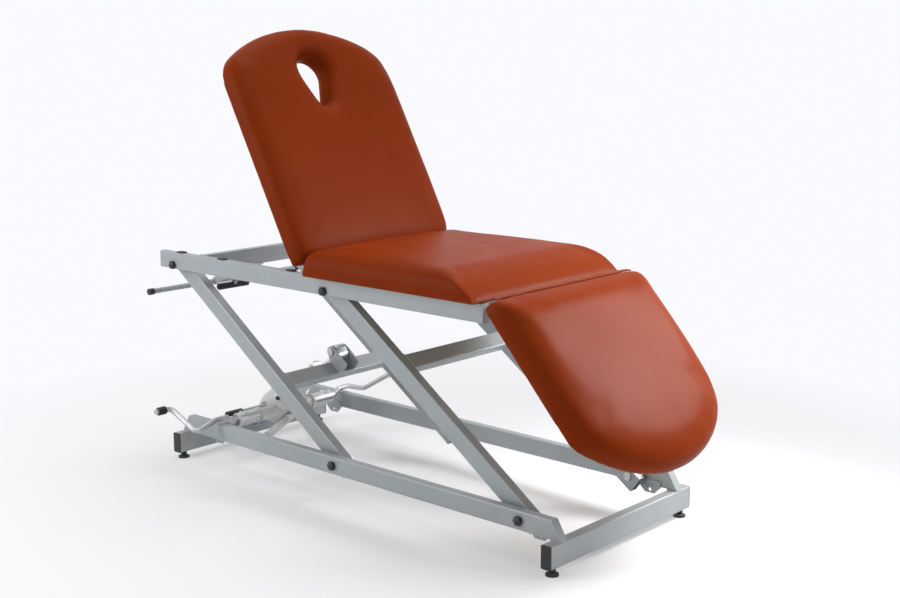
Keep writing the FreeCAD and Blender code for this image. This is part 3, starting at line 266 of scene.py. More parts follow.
arm_tilt = math.radians(35.41)
rail_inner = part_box("top_rail_near")[1].y
arm_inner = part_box("head_arm_near")[1].y
arm_tube_half = (0.025, 0.0125)
cross_tube_half = (0.0125, 0.025)
cross_tube_places = (-0.66989, -0.01289, 0.29211)
cross_tube_height = 0.6
base_rail_outer = 0.262
base_rail_inner = 0.237
base_tube_faces = (("head", -0.7304, -0.026), ("foot", 0.6546, 0.026))
base_joint_height = 0.0805
for side in (-1, 1):
    label = "near" if side < 0 else "far"
    for arm in ("head", "foot"):
        centre = tube_centre(arm + "_arm_tube")
        centre.y = -side * arm_inner + -side * bead_sink
        weld_bead("%s_arm_weld_%s" % (arm, label), arm + "_arms",
                  ring_points(centre, *arm_tube_half, arm_tilt), closed=True)
    for index, x in enumerate(cross_tube_places):
        centre = Vector((x, side * -rail_inner - side * bead_sink, cross_tube_height))
        weld_bead("cross_tube_weld_%d_%s" % (index + 1, label), "upper_frame",
                  ring_points(centre, *cross_tube_half, 0), closed=True)
    outer = side * base_rail_outer
    inner = side * base_rail_inner
    joint = base_joint_height
    for end, face, reach in base_tube_faces:
        back = face + reach
        weld_bead("base_weld_%s_%s" % (end, label), "base",
                  [Vector((back, outer, joint)), Vector((face, outer, joint)),
                   Vector((face, inner, joint)), Vector((back, inner, joint))])


# End caps of the base tubes
# Injection-moulded black plastic plugs, pressed into the open tube ends, with a fine spark-eroded
# texture and a soft edge.
def moulded(name, dark, light, rough, grain_scale, grain_depth, dust):
    """Moulded plastic or rubber with a fine tool grain and a trace of dust."""
    material = bpy.data.materials.new(name)
    material.use_nodes = True
    tree = material.node_tree
    shader = tree.nodes["Principled BSDF"]
    place = node(tree, "TexCoord")
    grain = node(tree, "TexNoise", {"Vector": place.outputs["Object"], "Scale": grain_scale,
                                    "Detail": 3.0, "Roughness": 0.6})
    cloud = node(tree, "TexNoise", {"Vector": place.outputs["Object"], "Scale": 25.0,
                                    "Detail": 4.0})
    film = node(tree, "Group", node_tree=settled_dust)
    base = tones(tree, between(tree, cloud.outputs["Fac"], 0.3, 0.7, 0.0, 1.0), dark, light)
    dusty = tones(tree, between(tree, film.outputs["Mask"], 0.0, 1.0, 0.0, dust), base,
                  dust_colour)
    tree.links.new(dusty, shader.inputs["Base Color"])
    low, high = rough
    tree.links.new(between(tree, cloud.outputs["Fac"], 0.25, 0.75, low, high),
                   shader.inputs["Roughness"])
    bump = node(tree, "Bump", {"Height": grain.outputs["Fac"], "Strength": 0.4,
                               "Distance": grain_depth})
    tree.links.new(bump.outputs["Normal"], shader.inputs["Normal"])
    return material


black_plastic = moulded("black_plastic", (0.010, 0.010, 0.011), (0.018, 0.018, 0.019),
                        (0.38, 0.50), 1500.0, 0.00008, 0.12)
dress(black_plastic, "base_end_caps", "roll_bar_caps", "base_cap_nuts", "top_cap_nuts",
      "release_pad")


# Levelling feet and rubber buffers
# Black rubber pads on threaded stems, with a lock nut under the tube. The buffers on the upper
# rails are the same rubber, pressed into the rail, and the boards lie on them.
rubber = moulded("rubber", (0.012, 0.012, 0.012), (0.022, 0.021, 0.020), (0.62, 0.78), 900.0,
                 0.0002, 0.20)
dress(rubber, "levelling_foot_1", "levelling_foot_2", "levelling_foot_3", "levelling_foot_4",
      "rail_buffers")


# Pivot bolts, spacers and pins
# Bright zinc-plated steel, turned, with the faint rings of the tool and small stains.
def plated(name, light, dark, rough, ring_scale, depth):
    """Bare or plated metal with turning marks."""
    material = bpy.data.materials.new(name)
    material.use_nodes = True
    tree = material.node_tree
    shader = tree.nodes["Principled BSDF"]
    place = node(tree, "TexCoord")
    marks = node(tree, "TexNoise", {"Vector": place.outputs["Object"], "Scale": ring_scale,
                                    "Detail": 4.0, "Roughness": 0.7})
    stains = node(tree, "TexNoise", {"Vector": place.outputs["Object"], "Scale": 40.0,
                                     "Detail": 6.0, "Roughness": 0.65})
    base = tones(tree, between(tree, stains.outputs["Fac"], 0.35, 0.7, 0.0, 1.0), light, dark)
    tree.links.new(base, shader.inputs["Base Color"])
    low, high = rough
    tree.links.new(between(tree, marks.outputs["Fac"], 0.3, 0.7, low, high),
                   shader.inputs["Roughness"])
    bump = node(tree, "Bump", {"Height": marks.outputs["Fac"], "Strength": 0.25,
                               "Distance": depth})
    tree.links.new(bump.outputs["Normal"], shader.inputs["Normal"])
    shader.inputs["Metallic"].default_value = 1.0
    return material


bolt_steel = plated("bolt_steel", (0.60, 0.60, 0.58), (0.46, 0.45, 0.43), (0.26, 0.42), 500.0,
                    0.0001)
dress(bolt_steel, "base_pivot_bolts", "top_pivot_bolts", "base_pivot_spacers",
      "top_pivot_spacers", "frame_pins", "lift_pin", "pump_shaft")


# Boards under the upholstery
# 12 mm birch plywood. The cut edges show its layers, and the face has a long, faint grain.
def plywood(name, to_flat):
    """Plywood whose layers lie in the board's own plane."""
    material = bpy.data.materials.new(name)
    material.use_nodes = True
    tree = material.node_tree
    shader = tree.nodes["Principled BSDF"]
    place = node(tree, "TexCoord")
    turn = to_flat.to_euler()
    flat = node(tree, "Mapping", {"Vector": place.outputs["Object"], "Rotation": turn})
    grain_place = node(tree, "Mapping", {"Vector": flat.outputs["Vector"],
                                         "Scale": (3.0, 40.0, 40.0)})
    grain = node(tree, "TexNoise", {"Vector": grain_place.outputs["Vector"], "Scale": 2.0,
                                    "Detail": 8.0, "Roughness": 0.6, "Distortion": 0.4})
    layer_place = node(tree, "SeparateXYZ", {0: flat.outputs["Vector"]})
    layers = node(tree, "Math", {0: layer_place.outputs["Z"], 1: 2617.0}, operation="MULTIPLY")
    stripes = node(tree, "Math", {0: layers.outputs[0]}, operation="SINE")
    veneer = tones(tree, between(tree, grain.outputs["Fac"], 0.3, 0.7, 0.0, 1.0),
                   (0.60, 0.43, 0.26), (0.43, 0.28, 0.15))
    banded = tones(tree, between(tree, stripes.outputs[0], -0.2, 0.6, 0.0, 0.35), veneer,
                   (0.20, 0.11, 0.05))
    tree.links.new(banded, shader.inputs["Base Color"])
    tree.links.new(between(tree, grain.outputs["Fac"], 0.2, 0.8, 0.55, 0.75),
                   shader.inputs["Roughness"])
    bump = node(tree, "Bump", {"Height": grain.outputs["Fac"], "Strength": 0.3,
                               "Distance": 0.0003})
    tree.links.new(bump.outputs["Normal"], shader.inputs["Normal"])
    return material


hinge_height = 0.622
back_hinge = Vector((-0.197386, 0.0, hinge_height))
leg_hinge = Vector((0.464614, 0.0, hinge_height))
back_place = (Matrix.Translation(back_hinge) @ Matrix.Rotation(math.radians(61.3), 4, "Y")
              @ Matrix.Rotation(math.pi, 4, "Z"))
leg_place = Matrix.Translation(leg_hinge) @ Matrix.Rotation(math.radians(48.0), 4, "Y")
seat_place = Matrix.Translation(Vector((0.0, 0.0, hinge_height)))
dress(plywood("back_plywood", back_place.inverted()), "back_board")
dress(plywood("leg_plywood", leg_place.inverted()), "leg_board")
dress(plywood("seat_plywood", seat_place.inverted()), "seat_board")


# Upholstery
# Firm foam on the boards, covered with one sheet of rust-orange vinyl that is pulled over the
# edges and stapled underneath. The faces are smooth, the edges round, the corners folded in.
def vinyl_grain_group():
    group, start, end = effect_group("vinyl grain", (("Pebble scale", 700.0),),
                                     ("Height", "Cloud"))
    place = node(group, "TexCoord")
    wander = node(group, "TexNoise", {"Vector": place.outputs["Object"], "Scale": 180.0,
                                      "Detail": 2.0})
    shifted = node(group, "VectorMath", {0: wander.outputs["Color"], 1: (0.004, 0.004, 0.004)},
                   operation="MULTIPLY")
    place_moved = node(group, "VectorMath", {0: place.outputs["Object"],
                                             1: shifted.outputs[0]}, operation="ADD")
    pebbles = node(group, "TexVoronoi", {"Vector": place_moved.outputs[0],
                                         "Scale": start.outputs["Pebble scale"]},
                   feature="DISTANCE_TO_EDGE")
    rounded = between(group, pebbles.outputs["Distance"], 0.0, 0.25, 0.0, 1.0)
    cloud = node(group, "TexNoise", {"Vector": place.outputs["Object"], "Scale": 7.0,
                                     "Detail": 5.0, "Roughness": 0.6})
    group.links.new(rounded, end.inputs["Height"])
    group.links.new(cloud.outputs["Fac"], end.inputs["Cloud"])
    return group


vinyl_grain = vinyl_grain_group()


def vinyl_material():
    material = bpy.data.materials.new("vinyl")
    material.use_nodes = True
    tree = material.node_tree
    shader = tree.nodes["Principled BSDF"]
    grain = node(tree, "Group", node_tree=vinyl_grain)
    cloud = grain.outputs["Cloud"]
    hide = tones(tree, between(tree, cloud, 0.3, 0.7, 0.0, 1.0), (0.225, 0.0300, 0.0035),
                 (0.205, 0.0265, 0.0030))
    # The hollows between the pebbles of the grain are darkened towards (0.100, 0.011, 0.002):
    # painted shade in the grain.
    grain_in_painted_shade = tones(tree, between(tree, grain.outputs["Height"], 0.0, 1.0, 0.16, 0.0), hide,
                    (0.100, 0.011, 0.002))
    tree.links.new(grain_in_painted_shade, shader.inputs["Base Color"])
    tree.links.new(between(tree, cloud, 0.25, 0.75, 0.34, 0.42), shader.inputs["Roughness"])
    bump = node(tree, "Bump", {"Height": grain.outputs["Height"], "Strength": 0.16,
                               "Distance": 0.0003})
    tree.links.new(bump.outputs["Normal"], shader.inputs["Normal"])
    shader.inputs["Specular IOR Level"].default_value = 0.032
    return material


vinyl = vinyl_material()
foam_voxel = 0.007
cover_slack = -0.0025
board_face = 0.007
foam_thickness = 0.069


def only(piece):
    """Selects one piece and makes it the active one."""
    bpy.ops.object.select_all(action="DESELECT")
    piece.select_set(True)
    bpy.context.view_layer.objects.active = piece


def merged_copy(cad_name, name):
    """A free copy of a CAD solid, with its loose triangles joined."""
    piece = nodes[cad_name].copy()
    piece.data = nodes[cad_name].data.copy()
    piece.name = name
    piece.parent = None
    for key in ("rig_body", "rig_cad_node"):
        del piece[key]
    bpy.context.collection.objects.link(piece)
    only(piece)
    bpy.ops.object.mode_set(mode="EDIT")
    bpy.ops.mesh.select_all(action="SELECT")
    bpy.ops.mesh.remove_doubles(threshold=0.00002)
    bpy.ops.mesh.customdata_custom_splitnormals_clear()
    bpy.ops.object.mode_set(mode="OBJECT")
    return piece


def even_mesh(piece, size, place):
    """Rebuilds the surface with even squares that lie along the flat board."""
    piece.data.transform(place.inverted())
    only(piece)
    remesh = piece.modifiers.new("Even mesh", "REMESH")
    remesh.mode = "VOXEL"
    remesh.voxel_size = size
    bpy.ops.object.modifier_apply(modifier=remesh.name)
    piece.data.transform(place)


def soften(piece, repeat, place=None, above=0.0):
    """Evens out the surface, either all of it or what lies above a height over the board."""
    only(piece)
    bpy.ops.object.mode_set(mode="EDIT")
    bpy.ops.mesh.select_mode(type="VERT")
    bpy.ops.mesh.select_all(action="SELECT")
    if place:
        to_flat = place.inverted()
        bpy.ops.mesh.select_all(action="DESELECT")
        bpy.ops.object.mode_set(mode="OBJECT")
        for vertex in piece.data.vertices:
            vertex.select = (to_flat @ vertex.co).z > board_face + above
        bpy.ops.object.mode_set(mode="EDIT")
    bpy.ops.mesh.vertices_smooth(factor=0.5, repeat=repeat)
    bpy.ops.object.mode_set(mode="OBJECT")


def move_points(piece, place, shift):
    """Moves each vertex by what shift gives for its place on the flat board."""
    to_flat = place.inverted()
    for vertex in piece.data.vertices:
        flat = to_flat @ vertex.co
        vertex.co = place @ (flat + shift(flat))
    piece.data.update()


def fill_with_foam(piece, place, cap, glued=None):
    """Cloth with pressure inside swells the cover, held where it lies on the board."""
    only(piece)
    bpy.ops.object.mode_set(mode="EDIT")
    bpy.ops.mesh.select_all(action="SELECT")
    bpy.ops.transform.shrink_fatten(value=cover_slack)
    bpy.ops.object.mode_set(mode="OBJECT")
    to_flat = place.inverted()
    held = piece.vertex_groups.new(name="held by the board")
    held.add([v.index for v in piece.data.vertices
              if (to_flat @ v.co).z < board_face + 0.014 or glued and glued(to_flat @ v.co)],
             1.0, "REPLACE")
    before = [v.co.copy() for v in piece.data.vertices]
    cloth = piece.modifiers.new("Cloth", "CLOTH")
    cloth.settings.quality = 3
    cloth.settings.use_pressure = True
    cloth.settings.uniform_pressure_force = 4.0
    cloth.settings.vertex_group_mass = held.name
    cloth.settings.effector_weights.gravity = 0.0
    cloth.point_cache.frame_start = 1
    cloth.point_cache.frame_end = 20
    for step in range(1, 21):
        bpy.context.scene.frame_set(step)
    bpy.ops.object.modifier_apply(modifier=cloth.name)
    bpy.context.scene.frame_set(1)
    for vertex, start in zip(piece.data.vertices, before):
        move = vertex.co - start
        vertex.co = start + move * (cap / (cap + move.length))
    piece.data.update()


def finer(piece):
    only(piece)
    subdivision = piece.modifiers.new("Finer", "SUBSURF")
    subdivision.levels = 1
    subdivision.render_levels = 1
    bpy.ops.object.modifier_apply(modifier=subdivision.name)


def soft_distance(sides, blend):
    """Distance in from several sides at once, rounded off where two of them meet."""
    def distance(flat):
        return -blend * math.log(sum(math.exp(-side / blend) for side in sides(flat)))
    return distance


def board_sides(start, end, half):
    """How far in a place is from each side of a rectangular board."""
    def sides(flat):
        return [flat.x - start, end - flat.x, half - abs(flat.y)]
    return sides


def arched_sides(start, end, half, arch):
    """The same for a board whose outer end is an arc of a large circle."""
    def sides(flat):
        beyond = flat.x - (end - arch)
        reach = math.hypot(beyond, flat.y) if beyond > 0 else abs(flat.y)
        return [flat.x - start, half - abs(flat.y), arch - reach]
    return sides


def slope(distance, flat):
    """Direction in which a distance grows along the board."""
    step = 0.002
    middle = distance(flat)
    return Vector((distance(flat + Vector((step, 0, 0))) - middle,
                   distance(flat + Vector((0, step, 0))) - middle, 0)) / step


def pillow_edge(distance, across, down):
    """Rounds the upper edge: across is its reach over the face, down its depth."""
    top = board_face + foam_thickness

    def shift(flat):
        inside = distance(flat)
        if inside > across:
            return Vector((0, 0, 0))
        move = Vector((0, 0, 0))
        if inside < 0:
            inward = slope(distance, flat)
            share = min(1.0, max(0.0, (flat.z - board_face) / 0.04))
            move = inward * (-inside * share / max(0.2, inward.length_squared))
        lean = 1 - max(0.0, inside) / across
        limit = top - down * (1 - math.sqrt(max(0.0, 1 - lean * lean)))
        move.z = min(0.0, limit - flat.z)
        return move
    return shift


def pulled_edge(distance, seed):
    """Faint upright puckers low in the side, where the cover is drawn down to the staples."""
    def shift(flat):
        height = flat.z - board_face
        if height > 0.03 or distance(flat) > 0.02:
            return Vector((0, 0, 0))
        strength = (1 - max(0.0, height) / 0.03) ** 1.5
        wave = noise.noise(Vector((flat.x * 38 + seed, flat.y * 38, 0)))
        return slope(distance, flat) * (0.0007 * strength * wave)
    return shift


def tucked_corner(corner, reach, folds, depth):
    """A fan of small folds that runs into a corner of the board."""
    def shift(flat):
        away = flat - corner
        distance = away.length
        if distance > reach:
            return Vector((0, 0, 0))
        side = Vector((away.x, away.y * (1 if corner.y > 0 else -1), 0))
        angle = math.atan2(away.z, side.length + 0.0001)
        around = math.atan2(side.y, -side.x)
        fade = (1 - distance / reach) ** 1.3
        groove = 0.5 - 0.5 * math.cos(folds * (angle + 0.6 * around))
        inward = Vector((-math.copysign(1, away.x + 0.0001), -math.copysign(1, corner.y), 0))
        return inward.normalized() * (depth * fade * groove)
    return shift


def wrapped_under(distance):
    """The cover runs down past the board's lower edge before it turns in."""
    def shift(flat):
        height = flat.z - board_face
        inside = distance(flat)
        if height > 0.02 or inside > 0.022:
            return Vector((0, 0, 0))
        share = min(1.0, (0.022 - inside) / 0.012)
        return Vector((0, 0, -0.0048 * share * (1 - max(0.0, height) / 0.02)))
    return shift


def bulging_end(x, inward, swell, low, high):
    """The foam of one end stands out most at the middle of its height."""
    def shift(flat):
        along_x = (flat.x - x) * inward
        height = (flat.z - low) / (high - low)
        if along_x > 0.04 or not 0 < height < 1:
            return Vector((0, 0, 0))
        fade = 1 - max(0.0, along_x) / 0.04
        return Vector((-inward * swell * fade * math.sin(math.pi * height), 0, 0))
    return shift


def fuller_end(start, end, reach):
    """The foam of the outer end is cut a little long and pushes the cover out."""
    def shift(flat):
        share = max(0.0, (flat.x - start) / (end - start))
        return Vector((reach * min(1.0, share) ** 1.5, 0, 0))
    return shift


def finish_cushion(piece, body, cad_name):
    piece.data.polygons.foreach_set("use_smooth", [True] * len(piece.data.polygons))
    piece.data.materials.clear()
    piece.data.materials.append(vinyl)
    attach(piece, body)
    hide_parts(cad_name)


# Backrest cushion
# The cover is cut through for the face and turned down inside the hole with a soft rolled rim.
hole_top_centre = Vector((0.580, 0.0))
hole_low_centre = Vector((0.495, 0.0))
hole_top_radius = 0.060
hole_low_radius = 0.030
hole_rim = 0.034
hole_depth = 0.018


def hole_distance(flat):
    """Distance outward from the edge of the teardrop hole."""
    length = hole_top_centre.x - hole_low_centre.x
    u = flat.x - hole_low_centre.x
    v = abs(flat.y)
    b = (hole_low_radius - hole_top_radius) / length
    a = math.sqrt(1 - b * b)
    k = -b * v + a * u
    if k < 0:
        return math.hypot(v, u) - hole_low_radius
    if k > a * length:
        return math.hypot(v, u - length) - hole_top_radius
    return v * a + u * b - hole_low_radius


def rolled_rim(flat):
    """Rounds the upper edge of the hole."""
    top = board_face + foam_thickness
    outward = hole_distance(flat)
    if outward > hole_rim:
        return Vector((0, 0, 0))
    lean = (hole_rim - max(0.0, outward)) / hole_rim
    limit = top - hole_depth + hole_depth * math.sqrt(max(0.0, 1 - lean ** 2))
    return Vector((0, 0, min(0.0, limit - flat.z)))


def narrowed_hole(flat):
    """The foam swells into the hole, most at the middle of its height."""
    outward = hole_distance(flat)
    height = (flat.z - board_face) / foam_thickness
    if outward > 0.03 or not 0 < height < 1:
        return Vector((0, 0, 0))
    fade = (1 - max(0.0, outward) / 0.03) * math.sin(math.pi * min(1.0, height + 0.15))
    return slope(hole_distance, flat) * (-0.011 * fade)


cushion_half = 0.31
back_start = 0.0147
back_end = 0.715
back_arch = 0.539
foam_swell = 0.006
corner_half = 0.306
corner_reach = 0.04
rim_height = 0.006
trim_height = 0.004
back_edge = soft_distance(arched_sides(back_start, back_end, cushion_half, back_arch), 0.024)
back_cushion = merged_copy("back_cushion", "back_upholstery")
even_mesh(back_cushion, foam_voxel, back_place)
move_points(back_cushion, back_place, narrowed_hole)
move_points(back_cushion, back_place, rolled_rim)
move_points(back_cushion, back_place, pillow_edge(back_edge, 0.040, 0.028))
move_points(back_cushion, back_place, fuller_end(0.45, back_end, 0.008))
even_mesh(back_cushion, foam_voxel, back_place)
soften(back_cushion, 8, back_place, rim_height)
fill_with_foam(back_cushion, back_place, foam_swell, lambda flat: hole_distance(flat) < 0.01)
soften(back_cushion, 8, back_place, rim_height)
finer(back_cushion)
soften(back_cushion, 3)
soften(back_cushion, 6, back_place, trim_height)
move_points(back_cushion, back_place, pulled_edge(back_edge, 3.0))
for side in (-1, 1):
    move_points(back_cushion, back_place,
                tucked_corner(Vector((back_start + 0.004, side * corner_half, board_face)),
                              corner_reach, 8.0, 0.002))
move_points(back_cushion, back_place, wrapped_under(back_edge))
finish_cushion(back_cushion, "backrest", "back_cushion")

hole_lean = math.acos((hole_top_radius - hole_low_radius)
                      / (hole_top_centre.x - hole_low_centre.x))


def hole_outline(inset, count):
    """Points round the teardrop, the given distance inside its edge."""
    turn = math.pi - hole_lean
    top = [turn * (2 * k / (count - 1) - 1) for k in range(count)]
    low = [turn + 2 * hole_lean * k / (count // 2) for k in range(1, count // 2)]
    big = hole_top_radius - inset
    small = hole_low_radius - inset
    return ([(hole_top_centre.x + big * math.cos(a), big * math.sin(a)) for a in top]
            + [(hole_low_centre.x + small * math.cos(a), small * math.sin(a)) for a in low])


bpy.ops.object.select_all(action="DESELECT")
lining_rings = ((-0.014, 0.0055), (0.004, 0.0055), (0.0095, 0.0090), (0.0115, 0.0180),
                (0.0110, 0.0320), (0.0020, 0.0460))
lining_points = hole_outline(0.0, 48)
bpy.ops.mesh.primitive_circle_add(vertices=len(lining_points), radius=hole_top_radius)
lining = bpy.context.active_object
lining.name = "hole_lining"
bpy.ops.object.mode_set(mode="EDIT")
for _ in lining_rings[1:]:
    bpy.ops.mesh.extrude_edges_move(TRANSFORM_OT_translate={"value": (0, 0, 0.01)})
bpy.ops.object.mode_set(mode="OBJECT")
for ring, (inset, depth) in enumerate(lining_rings):
    for index, (u, v) in enumerate(hole_outline(inset, 48)):
        vertex = lining.data.vertices[ring * len(lining_points) + index]
        vertex.co = Vector((u, v, depth))
skin = lining.modifiers.new("Skin", "SOLIDIFY")
skin.thickness = 0.0012
only(lining)
bpy.ops.object.modifier_apply(modifier=skin.name)
finer(lining)
lining.data.transform(back_place)
lining.data.polygons.foreach_set("use_smooth", [True] * len(lining.data.polygons))
lining.data.materials.append(vinyl)
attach(lining, "backrest")


# Seat cushion
# The head end slants under the backrest, and the foot end rolls down over the leg hinge.
seat_low, seat_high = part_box("seat_cushion")
seat_edge = soft_distance(board_sides(seat_low.x, seat_high.x, cushion_half), 0.010)
seat_side = soft_distance(board_sides(seat_low.x - 1.0, seat_high.x, cushion_half), 0.010)
nose_length = 0.112
nose_power = 1.6


def rolled_nose(flat):
    """The foot end curves down to the board in one roll."""
    share = (flat.x - (seat_high.x - nose_length)) / nose_length
    if share < 0:
        return Vector((0, 0, 0))
    share = min(share, 1.0)
    level = (1 - share ** nose_power) ** (1 / nose_power)
    limit = board_face + 0.010 + (foam_thickness - 0.010) * level
    return Vector((0, 0, min(0.0, limit - flat.z)))


def full_head(flat):
    """The foam is pressed up and out where it meets the backrest."""
    share = 1 - (flat.x - seat_low.x) / 0.42
    if share <= 0:
        return Vector((0, 0, 0))
    height = min(1.0, max(0.0, (flat.z - board_face) / foam_thickness))
    across = max(0.0, 1 - (abs(flat.y) / 0.33) ** 4)
    low = max(0.0, 1 - (flat.x - seat_low.x) / 0.05) * max(0.0, 1 - height / 0.5)
    lead = max(0.0, 1 - (flat.x - seat_low.x) / 0.16)
    return Vector((-0.012 * low - 0.060 * height * lead, 0,
                   0.009 * height * across * share ** 0.7))


seat_cushion = merged_copy("seat_cushion", "seat_upholstery")
even_mesh(seat_cushion, foam_voxel, seat_place)
move_points(seat_cushion, seat_place, pillow_edge(seat_side, 0.042, 0.032))
move_points(seat_cushion, seat_place, rolled_nose)
move_points(seat_cushion, seat_place, bulging_end(seat_high.x, -1, 0.014, -0.004, 0.052))
move_points(seat_cushion, seat_place, full_head)
even_mesh(seat_cushion, foam_voxel, seat_place)
soften(seat_cushion, 8, seat_place, rim_height)
fill_with_foam(seat_cushion, seat_place, foam_swell)
soften(seat_cushion, 8, seat_place, rim_height)
finer(seat_cushion)
soften(seat_cushion, 3)
soften(seat_cushion, 6, seat_place, trim_height)
move_points(seat_cushion, seat_place, pulled_edge(seat_edge, 11.0))
for side in (-1, 1):
    move_points(seat_cushion, seat_place,
                tucked_corner(Vector((seat_high.x - 0.004, side * corner_half, board_face)),
                              0.050, 8.0, 0.0035))
move_points(seat_cushion, seat_place, wrapped_under(seat_edge))
finish_cushion(seat_cushion, "upper_frame", "seat_cushion")


# Leg cushion
# Thick rolled edges, with a large round shoulder at the hinge that lets it fold down.
leg_start = 0.011
leg_end = 0.535
leg_arch = 0.430
leg_edge = soft_distance(arched_sides(leg_start, leg_end, cushion_half, leg_arch), 0.030)
leg_rim = soft_distance(arched_sides(-1.0, leg_end, cushion_half, leg_arch), 0.030)
leg_shoulder = soft_distance(board_sides(leg_start, 2.0, cushion_half), 0.018)
leg_cushion = merged_copy("leg_cushion", "leg_upholstery")
even_mesh(leg_cushion, foam_voxel, leg_place)
move_points(leg_cushion, leg_place, pillow_edge(leg_rim, 0.060, 0.044))
move_points(leg_cushion, leg_place, pillow_edge(leg_shoulder, 0.046, 0.026))
move_points(leg_cushion, leg_place, bulging_end(leg_start, 1, 0.019, -0.004, 0.066))
move_points(leg_cushion, leg_place, fuller_end(0.25, leg_end, 0.010))
even_mesh(leg_cushion, foam_voxel, leg_place)
soften(leg_cushion, 8, leg_place, rim_height)
fill_with_foam(leg_cushion, leg_place, 0.007)
soften(leg_cushion, 8, leg_place, rim_height)
finer(leg_cushion)
soften(leg_cushion, 3)
soften(leg_cushion, 6, leg_place, trim_height)
move_points(leg_cushion, leg_place, pulled_edge(leg_edge, 23.0))
move_points(leg_cushion, leg_place, wrapped_under(leg_edge))
finish_cushion(leg_cushion, "leg_section", "leg_cushion")


# Flap over the leg hinge
# A doubled strip of the same vinyl, sewn to the leg cushion, which hides the gap at the hinge.
flap = merged_copy("leg_flap", "hinge_flap")
even_mesh(flap, 0.0014, leg_place)
sewn_edge = Vector((0.003, 0.0, 0.041))
lying = math.radians(48.0)
flap_half = 0.278
flap_share = 0.66
flap_underside = 0.0322
flap_droop = 0.002


def laid_over(flat):
    """The strip lies level from its sewn edge, in slow, shallow waves."""
    run = (leg_start - flat.x) * flap_share
    rise = flat.z - flap_underside - flap_droop * (abs(flat.y) / flap_half) ** 6
    wave = noise.noise(Vector((flat.y * 14, 0.0, 0.0)))
    small = noise.noise(Vector((flat.y * 45, 5.0, 0.0)))
    rise += 0.0010 * wave + 0.0004 * small
    placed = sewn_edge + Vector((-run * math.cos(lying) - rise * math.sin(lying), flat.y,
                                 -run * math.sin(lying) + rise * math.cos(lying)))
    return placed - flat


soften(flap, 3)
move_points(flap, leg_place, laid_over)
flap.data.polygons.foreach_set("use_smooth", [True] * len(flap.data.polygons))
flap.data.materials.clear()
flap.data.materials.append(vinyl)
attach(flap, "leg_section")
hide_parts("leg_flap")


# Struts of the backrest and the leg section
# Black gas struts: a coated tube, and a hard chromed rod that slides in it.
strut_black = coated_steel("strut_black", (0.014, 0.014, 0.015), (0.020, 0.020, 0.021),
                           (0.20, 0.20, 0.20), 0.2, (0.28, 0.40), 0.0002, 0.10)
chrome_rod = plated("chrome_rod", (0.78, 0.78, 0.79), (0.70, 0.70, 0.71), (0.08, 0.16), 900.0,
                    0.00003)
dress(strut_black, "back_strut_tube", "leg_strut_tube")
dress(chrome_rod, "back_strut_rod", "leg_strut_rod", "lift_rod")


# Hydraulic pump
# A cast and painted casing with the lift barrel screwed into it. The barrel ends in a gland
# through which the chromed rod runs out. Black cap screws and an oil plug sit in the casing.
pump_paint = coated_steel("pump_paint", (0.62, 0.63, 0.63), (0.54, 0.55, 0.55),
                          (0.40, 0.40, 0.40), 0.05, (0.30, 0.42), 0.0006, 0.25)
dress(pump_paint, "pump_casing", "lift_barrel", "pump_link")
dress(bolt_steel, "barrel_gland")


def socket_screw(name, body, material, place, outward, radius, height):
    """A cap screw: round head with a soft rim and a six-sided socket."""
    outward = Vector(outward).normalized()
    bpy.ops.object.select_all(action="DESELECT")
    bpy.ops.mesh.primitive_cylinder_add(vertices=30, radius=radius, depth=height)
    screw = bpy.context.active_object
    screw.name = name
    bpy.ops.object.mode_set(mode="EDIT")
    bpy.ops.mesh.select_mode(type="FACE")
    bpy.ops.mesh.select_all(action="DESELECT")
    bpy.ops.object.mode_set(mode="OBJECT")
    for face in screw.data.polygons:
        face.select = face.normal.z > 0.9
    bpy.ops.object.mode_set(mode="EDIT")
    bpy.ops.mesh.inset(thickness=radius * 0.14, depth=height * 0.10)
    bpy.ops.mesh.inset(thickness=radius * 0.34)
    bpy.ops.mesh.extrude_region_move(TRANSFORM_OT_translate={"value": (0, 0, -height * 0.55)})
    bpy.ops.object.mode_set(mode="OBJECT")
    turn = outward.to_track_quat("Z", "X").to_matrix().to_4x4()
    screw.data.transform(Matrix.Translation(Vector(place)) @ turn)
    screw.location = (0, 0, 0)
    screw.data.polygons.foreach_set("use_smooth", [True] * len(screw.data.polygons))
    only(screw)
    bpy.ops.object.shade_smooth_by_angle(angle=math.radians(35))
    screw.data.materials.append(material)
    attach(screw, body)
    return screw


def screw_on(name, node_name, body, material, source, aim, radius, height):
    """Sets a cap screw where a line from source to aim first meets a CAD piece."""
    source = Vector(source)
    heading = (Vector(aim) - source).normalized()
    hit, place, outward, _ = nodes[node_name].ray_cast(source, heading)
    if hit:
        socket_screw(name, body, material, place + outward * height * 0.3, outward, radius,
                     height)


casing_screws = (((-0.672, -0.30, 0.112), 0.0055), ((-0.636, -0.30, 0.104), 0.0065),
                 ((-0.575, -0.30, 0.168), 0.0065), ((-0.548, -0.30, 0.120), 0.0055))
for index, (source, radius) in enumerate(casing_screws):
    aim = (source[0], 0.0, source[2])
    screw_on("casing_screw_%d" % (index + 1), "pump_casing", "lift_cylinder", black_plastic,
             source, aim, radius, 0.006)
screw_on("filler_plug", "pump_casing", "lift_cylinder", black_plastic,
         (-0.610, -0.02, 0.40), (-0.610, -0.02, 0.0), 0.0085, 0.010)
clamp_screws = (-0.604, -0.581)
clamp_reach = 0.165
for side, label in ((-1, "near"), (1, "far")):
    for index, x in enumerate(clamp_screws):
        screw_on("clamp_screw_%s_%d" % (label, index + 1), "shaft_clamps", "pump_pedals",
                 bolt_steel, (x, side * clamp_reach, 0.30),
                 (x, side * clamp_reach, 0.0),
                 0.0042, 0.005)


